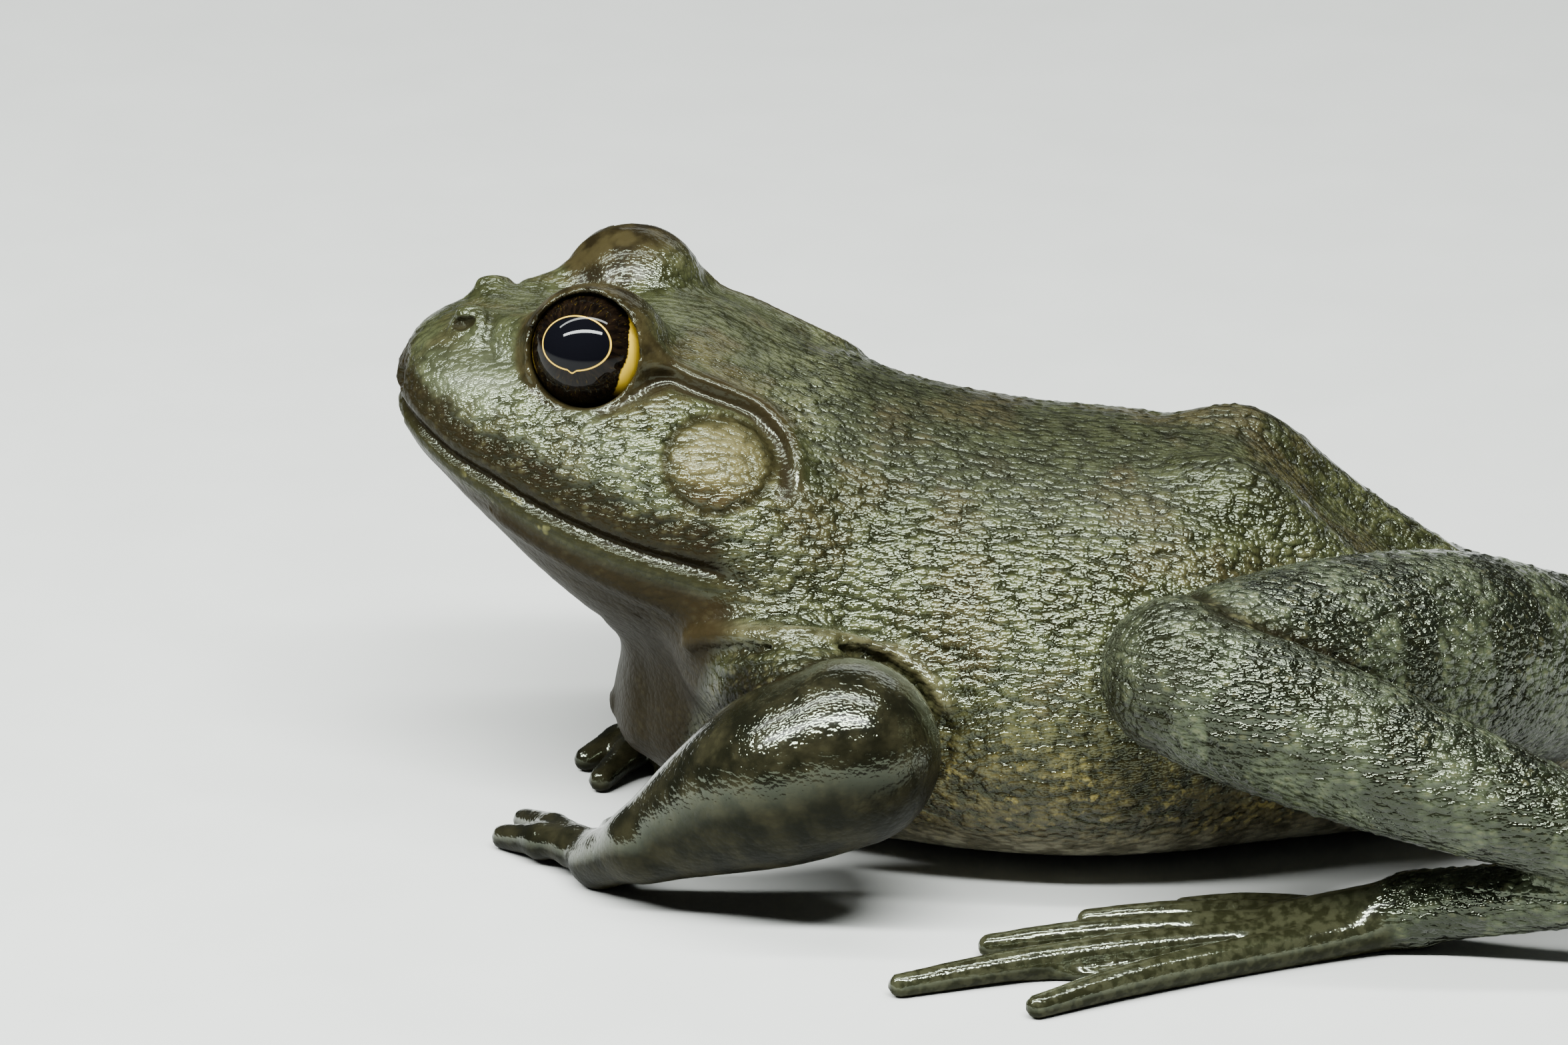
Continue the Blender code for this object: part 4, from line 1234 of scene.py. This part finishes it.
def eyeball(name, sign):
    """One eyeball with its poles on the line of sight, mapped by the angle from that line."""
    look = pointing(SIGHT_UP, SIGHT_FORWARD) * (sign, 1, 1)
    rear = np.cross(look, (0, 0, 1)) * -sign
    rear /= length(rear)
    top = np.cross(look, rear) * sign
    work = bmesh.new()
    bmesh.ops.create_uvsphere(work, u_segments=SPOKES, v_segments=RINGS, radius=1)
    if sign < 0:
        bmesh.ops.reverse_faces(work, faces=work.faces)
    mesh = bpy.data.meshes.new(name)
    work.to_mesh(mesh)
    work.free()
    unit = places(mesh)
    away = np.arccos(np.clip(unit[:, 2], -1, 1))
    radii = EYE_RADIUS + CORNEA * np.exp(-((away / 0.85) ** 4))
    straight = EYE_CENTRE * (sign, 1, 1) + radii[:, None] * (unit @ np.array([rear, top, look]))
    mesh.vertices.foreach_set("co", placed(turned(straight, back=True)).astype(np.float32).ravel())
    aside = unit[:, :2] / np.maximum(length(unit[:, :2]), 1e-6)[:, None]
    spot = 0.5 + aside * away[:, None] / (2 * math.pi)
    layer = mesh.uv_layers.new(name="Line of sight")
    index = np.empty(len(mesh.loops), np.int32)
    mesh.loops.foreach_get("vertex_index", index)
    layer.data.foreach_set("uv", spot[index].astype(np.float32).ravel())
    mesh.shade_smooth()
    mesh.update()
    return in_scene(name, mesh)


eyes = {side: eyeball(f"eyeball_{side}", SIDES[side][0]) for side in SIDES}


def enclosed(mesh):
    """The volume inside a closed mesh, which is above zero when its faces point outwards."""
    work = bmesh.new()
    work.from_mesh(mesh)
    found = work.calc_volume(signed=True)
    work.free()
    return found / MM**3


for side, eye in eyes.items():
    print(eye.name, "volume, mm3:", round(enclosed(eye.data)))
print("skin volume, cm3:", round(enclosed(thinned) / 1000, 1))

# %% Eye material
iris, g = new_material("Gold-flecked eye")
spot = g.node("ShaderNodeUVMap", {"uv_map": "Line of sight"})
off = g.vector("SUBTRACT", spot, (0.5, 0.5, 0.0))
parts = g.node("ShaderNodeSeparateXYZ", None, {0: off})
back_way, up_way = parts * (2 * math.pi), parts.out("Y") * (2 * math.pi)
away = g.sum("SQRT", back_way * back_way + up_way * up_way)
PUPIL_ACROSS, PUPIL_TALL = 0.64, 0.48
notch = g.rise(g.sum("ABSOLUTE", back_way), 0.10, 0.0) * g.rise(up_way, -0.2, -0.4) * 0.10
oval = g.sum("SQRT", (back_way / PUPIL_ACROSS) ** 2.0 + (up_way / PUPIL_TALL) ** 2.0) - notch
pupil = g.rise(oval, 1.02, 0.98)
ring = g.rise(oval, 0.985, 1.005) * g.rise(oval, 1.06, 1.035)
ray = g.node("ShaderNodeCombineXYZ", None, {
    0: back_way / (away + 0.05) * 4, 1: up_way / (away + 0.05) * 4, 2: away * 1.3})
flecks = g.rise(g.noise(ray, 5.5, 3.0, 0.65), 0.57, 0.72) * g.rise(oval, 1.1, 1.5) * 0.035
turn = g.sum("ARCTAN2", up_way, back_way)
aside = back_way - 0.09
margin = g.sum("SQRT", aside * aside + up_way * up_way) + 0.10 * g.noise(ray, 3.0, 2.0) - 0.05
behind = g.rise(turn, -1.0, -0.4) * g.rise(turn, 0.9, 0.2)
under = g.rise(turn, -0.95, -0.55) + g.rise(turn, -2.5, -2.9) * 0.7
crescent = g.rise(margin + 0.30 * behind, 1.22, 1.27) * g.sum("MINIMUM", under, 1.0)
gold = g.most(ring, flecks, crescent)
iris_tone = g.tint(g.rise(g.noise(ray, 3.0, 3.0), 0.35, 0.7), (0.0015, 0.001, 0.0008), (0.006, 0.0035, 0.002))
eye_tone = g.tint(gold, iris_tone, g.tint(crescent, (0.700, 0.440, 0.050), (0.760, 0.500, 0.035)))
eye_tone = g.tint(pupil, eye_tone, (0.002, 0.002, 0.003))
print("eye material:", g.surface(g.principled(
    Base_Color=eye_tone, Roughness=0.35 + 0.1 * gold, Metallic=gold * 0.2, Specular_IOR_Level=0.0,
    Coat_Weight=1.0, Coat_Roughness=0.015, Coat_IOR=1.24)))
for eye in eyes.values():
    eye.data.materials.append(iris)

# %% [markdown]
# ## Floor and light
# The frog sits on a plain pale floor, wide enough to fill the view. Wet skin shows the shape of
# its light in every granule: a large softbox would turn the whole skin grey, while a long narrow
# one puts a small clean sparkle on each granule and a bright arc on each eye. So two strips hang
# along the frog, one overhead and one to its left. A weak softbox stands behind, and a faint pale
# sky fills the shadows.

# %% Floor
FLOOR_SIZE = 6.0
floor_mesh = bpy.data.meshes.new("floor")
half = FLOOR_SIZE / 2
corners = [(-half, -half, 0), (half, -half, 0), (half, half, 0), (-half, half, 0)]
floor_mesh.from_pydata(corners, [], [(0, 1, 2, 3)])
floor = in_scene("floor", floor_mesh)
paper, g = new_material("Pale floor")
grain = g.noise(g.node("ShaderNodeTexCoord").out("Object"), 60, 4.0)
shade = g.tint(grain, (0.44, 0.44, 0.43), (0.49, 0.49, 0.48))
print("floor material:", g.surface(g.principled(Base_Color=shade, Roughness=0.75 + 0.1 * grain)))
floor_mesh.materials.append(paper)
floor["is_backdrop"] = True


# %% Lights
def softbox(name, place, watts, width, depth):
    """A softbox beside or above the frog, its long side along the frog."""
    lamp = bpy.data.lights.new(name, "AREA")
    lamp.shape, lamp.size, lamp.size_y, lamp.energy = "RECTANGLE", width, depth, watts
    lamp.color = (0.95, 1.0, 0.97)
    made = in_scene(name, lamp)
    made.location = place
    made.rotation_euler = Vector((-place[0], 0, 0.03 - place[2])).to_track_quat("-Z", "Y").to_euler()
    return made


lights = [
    softbox("Overhead strip", (0.05, -0.25, 0.75), 12.0, 1.30, 0.06),
    softbox("Left strip", (0.42, -0.25, 0.68), 38.0, 1.20, 0.08),
    softbox("Back softbox", (-0.60, 0.10, 0.45), 0.8, 0.60, 0.20),
]
world = bpy.data.worlds.new("Pale sky")
bpy.context.scene.world = world
world.use_nodes = True
world.node_tree.nodes["Background"].inputs["Color"].default_value = (0.78, 0.85, 0.92, 1)
world.node_tree.nodes["Background"].inputs["Strength"].default_value = 0.05
print("lights:", [light.name for light in lights])

# %% [markdown]
# ## Handing over
# The finished pieces ride on the frog's one body and stand in for the solid parts. The two
# boxes, before and after, are written down, so that it can be seen that the skin has not
# changed the frog's size.

# %% Pieces and sizes
flesh = [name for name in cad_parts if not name.startswith("eye_")]
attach(skin_piece, "root")
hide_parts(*flesh)
for side, eye in eyes.items():
    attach(eye, "root")
    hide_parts(f"eye_{side}")
look_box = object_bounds()
for name, before, after in zip(("low", "high"), cad_box, look_box):
    print(name, "corner differs by, mm:", [round((b - a) / MM, 2) for a, b in zip(before, after)])
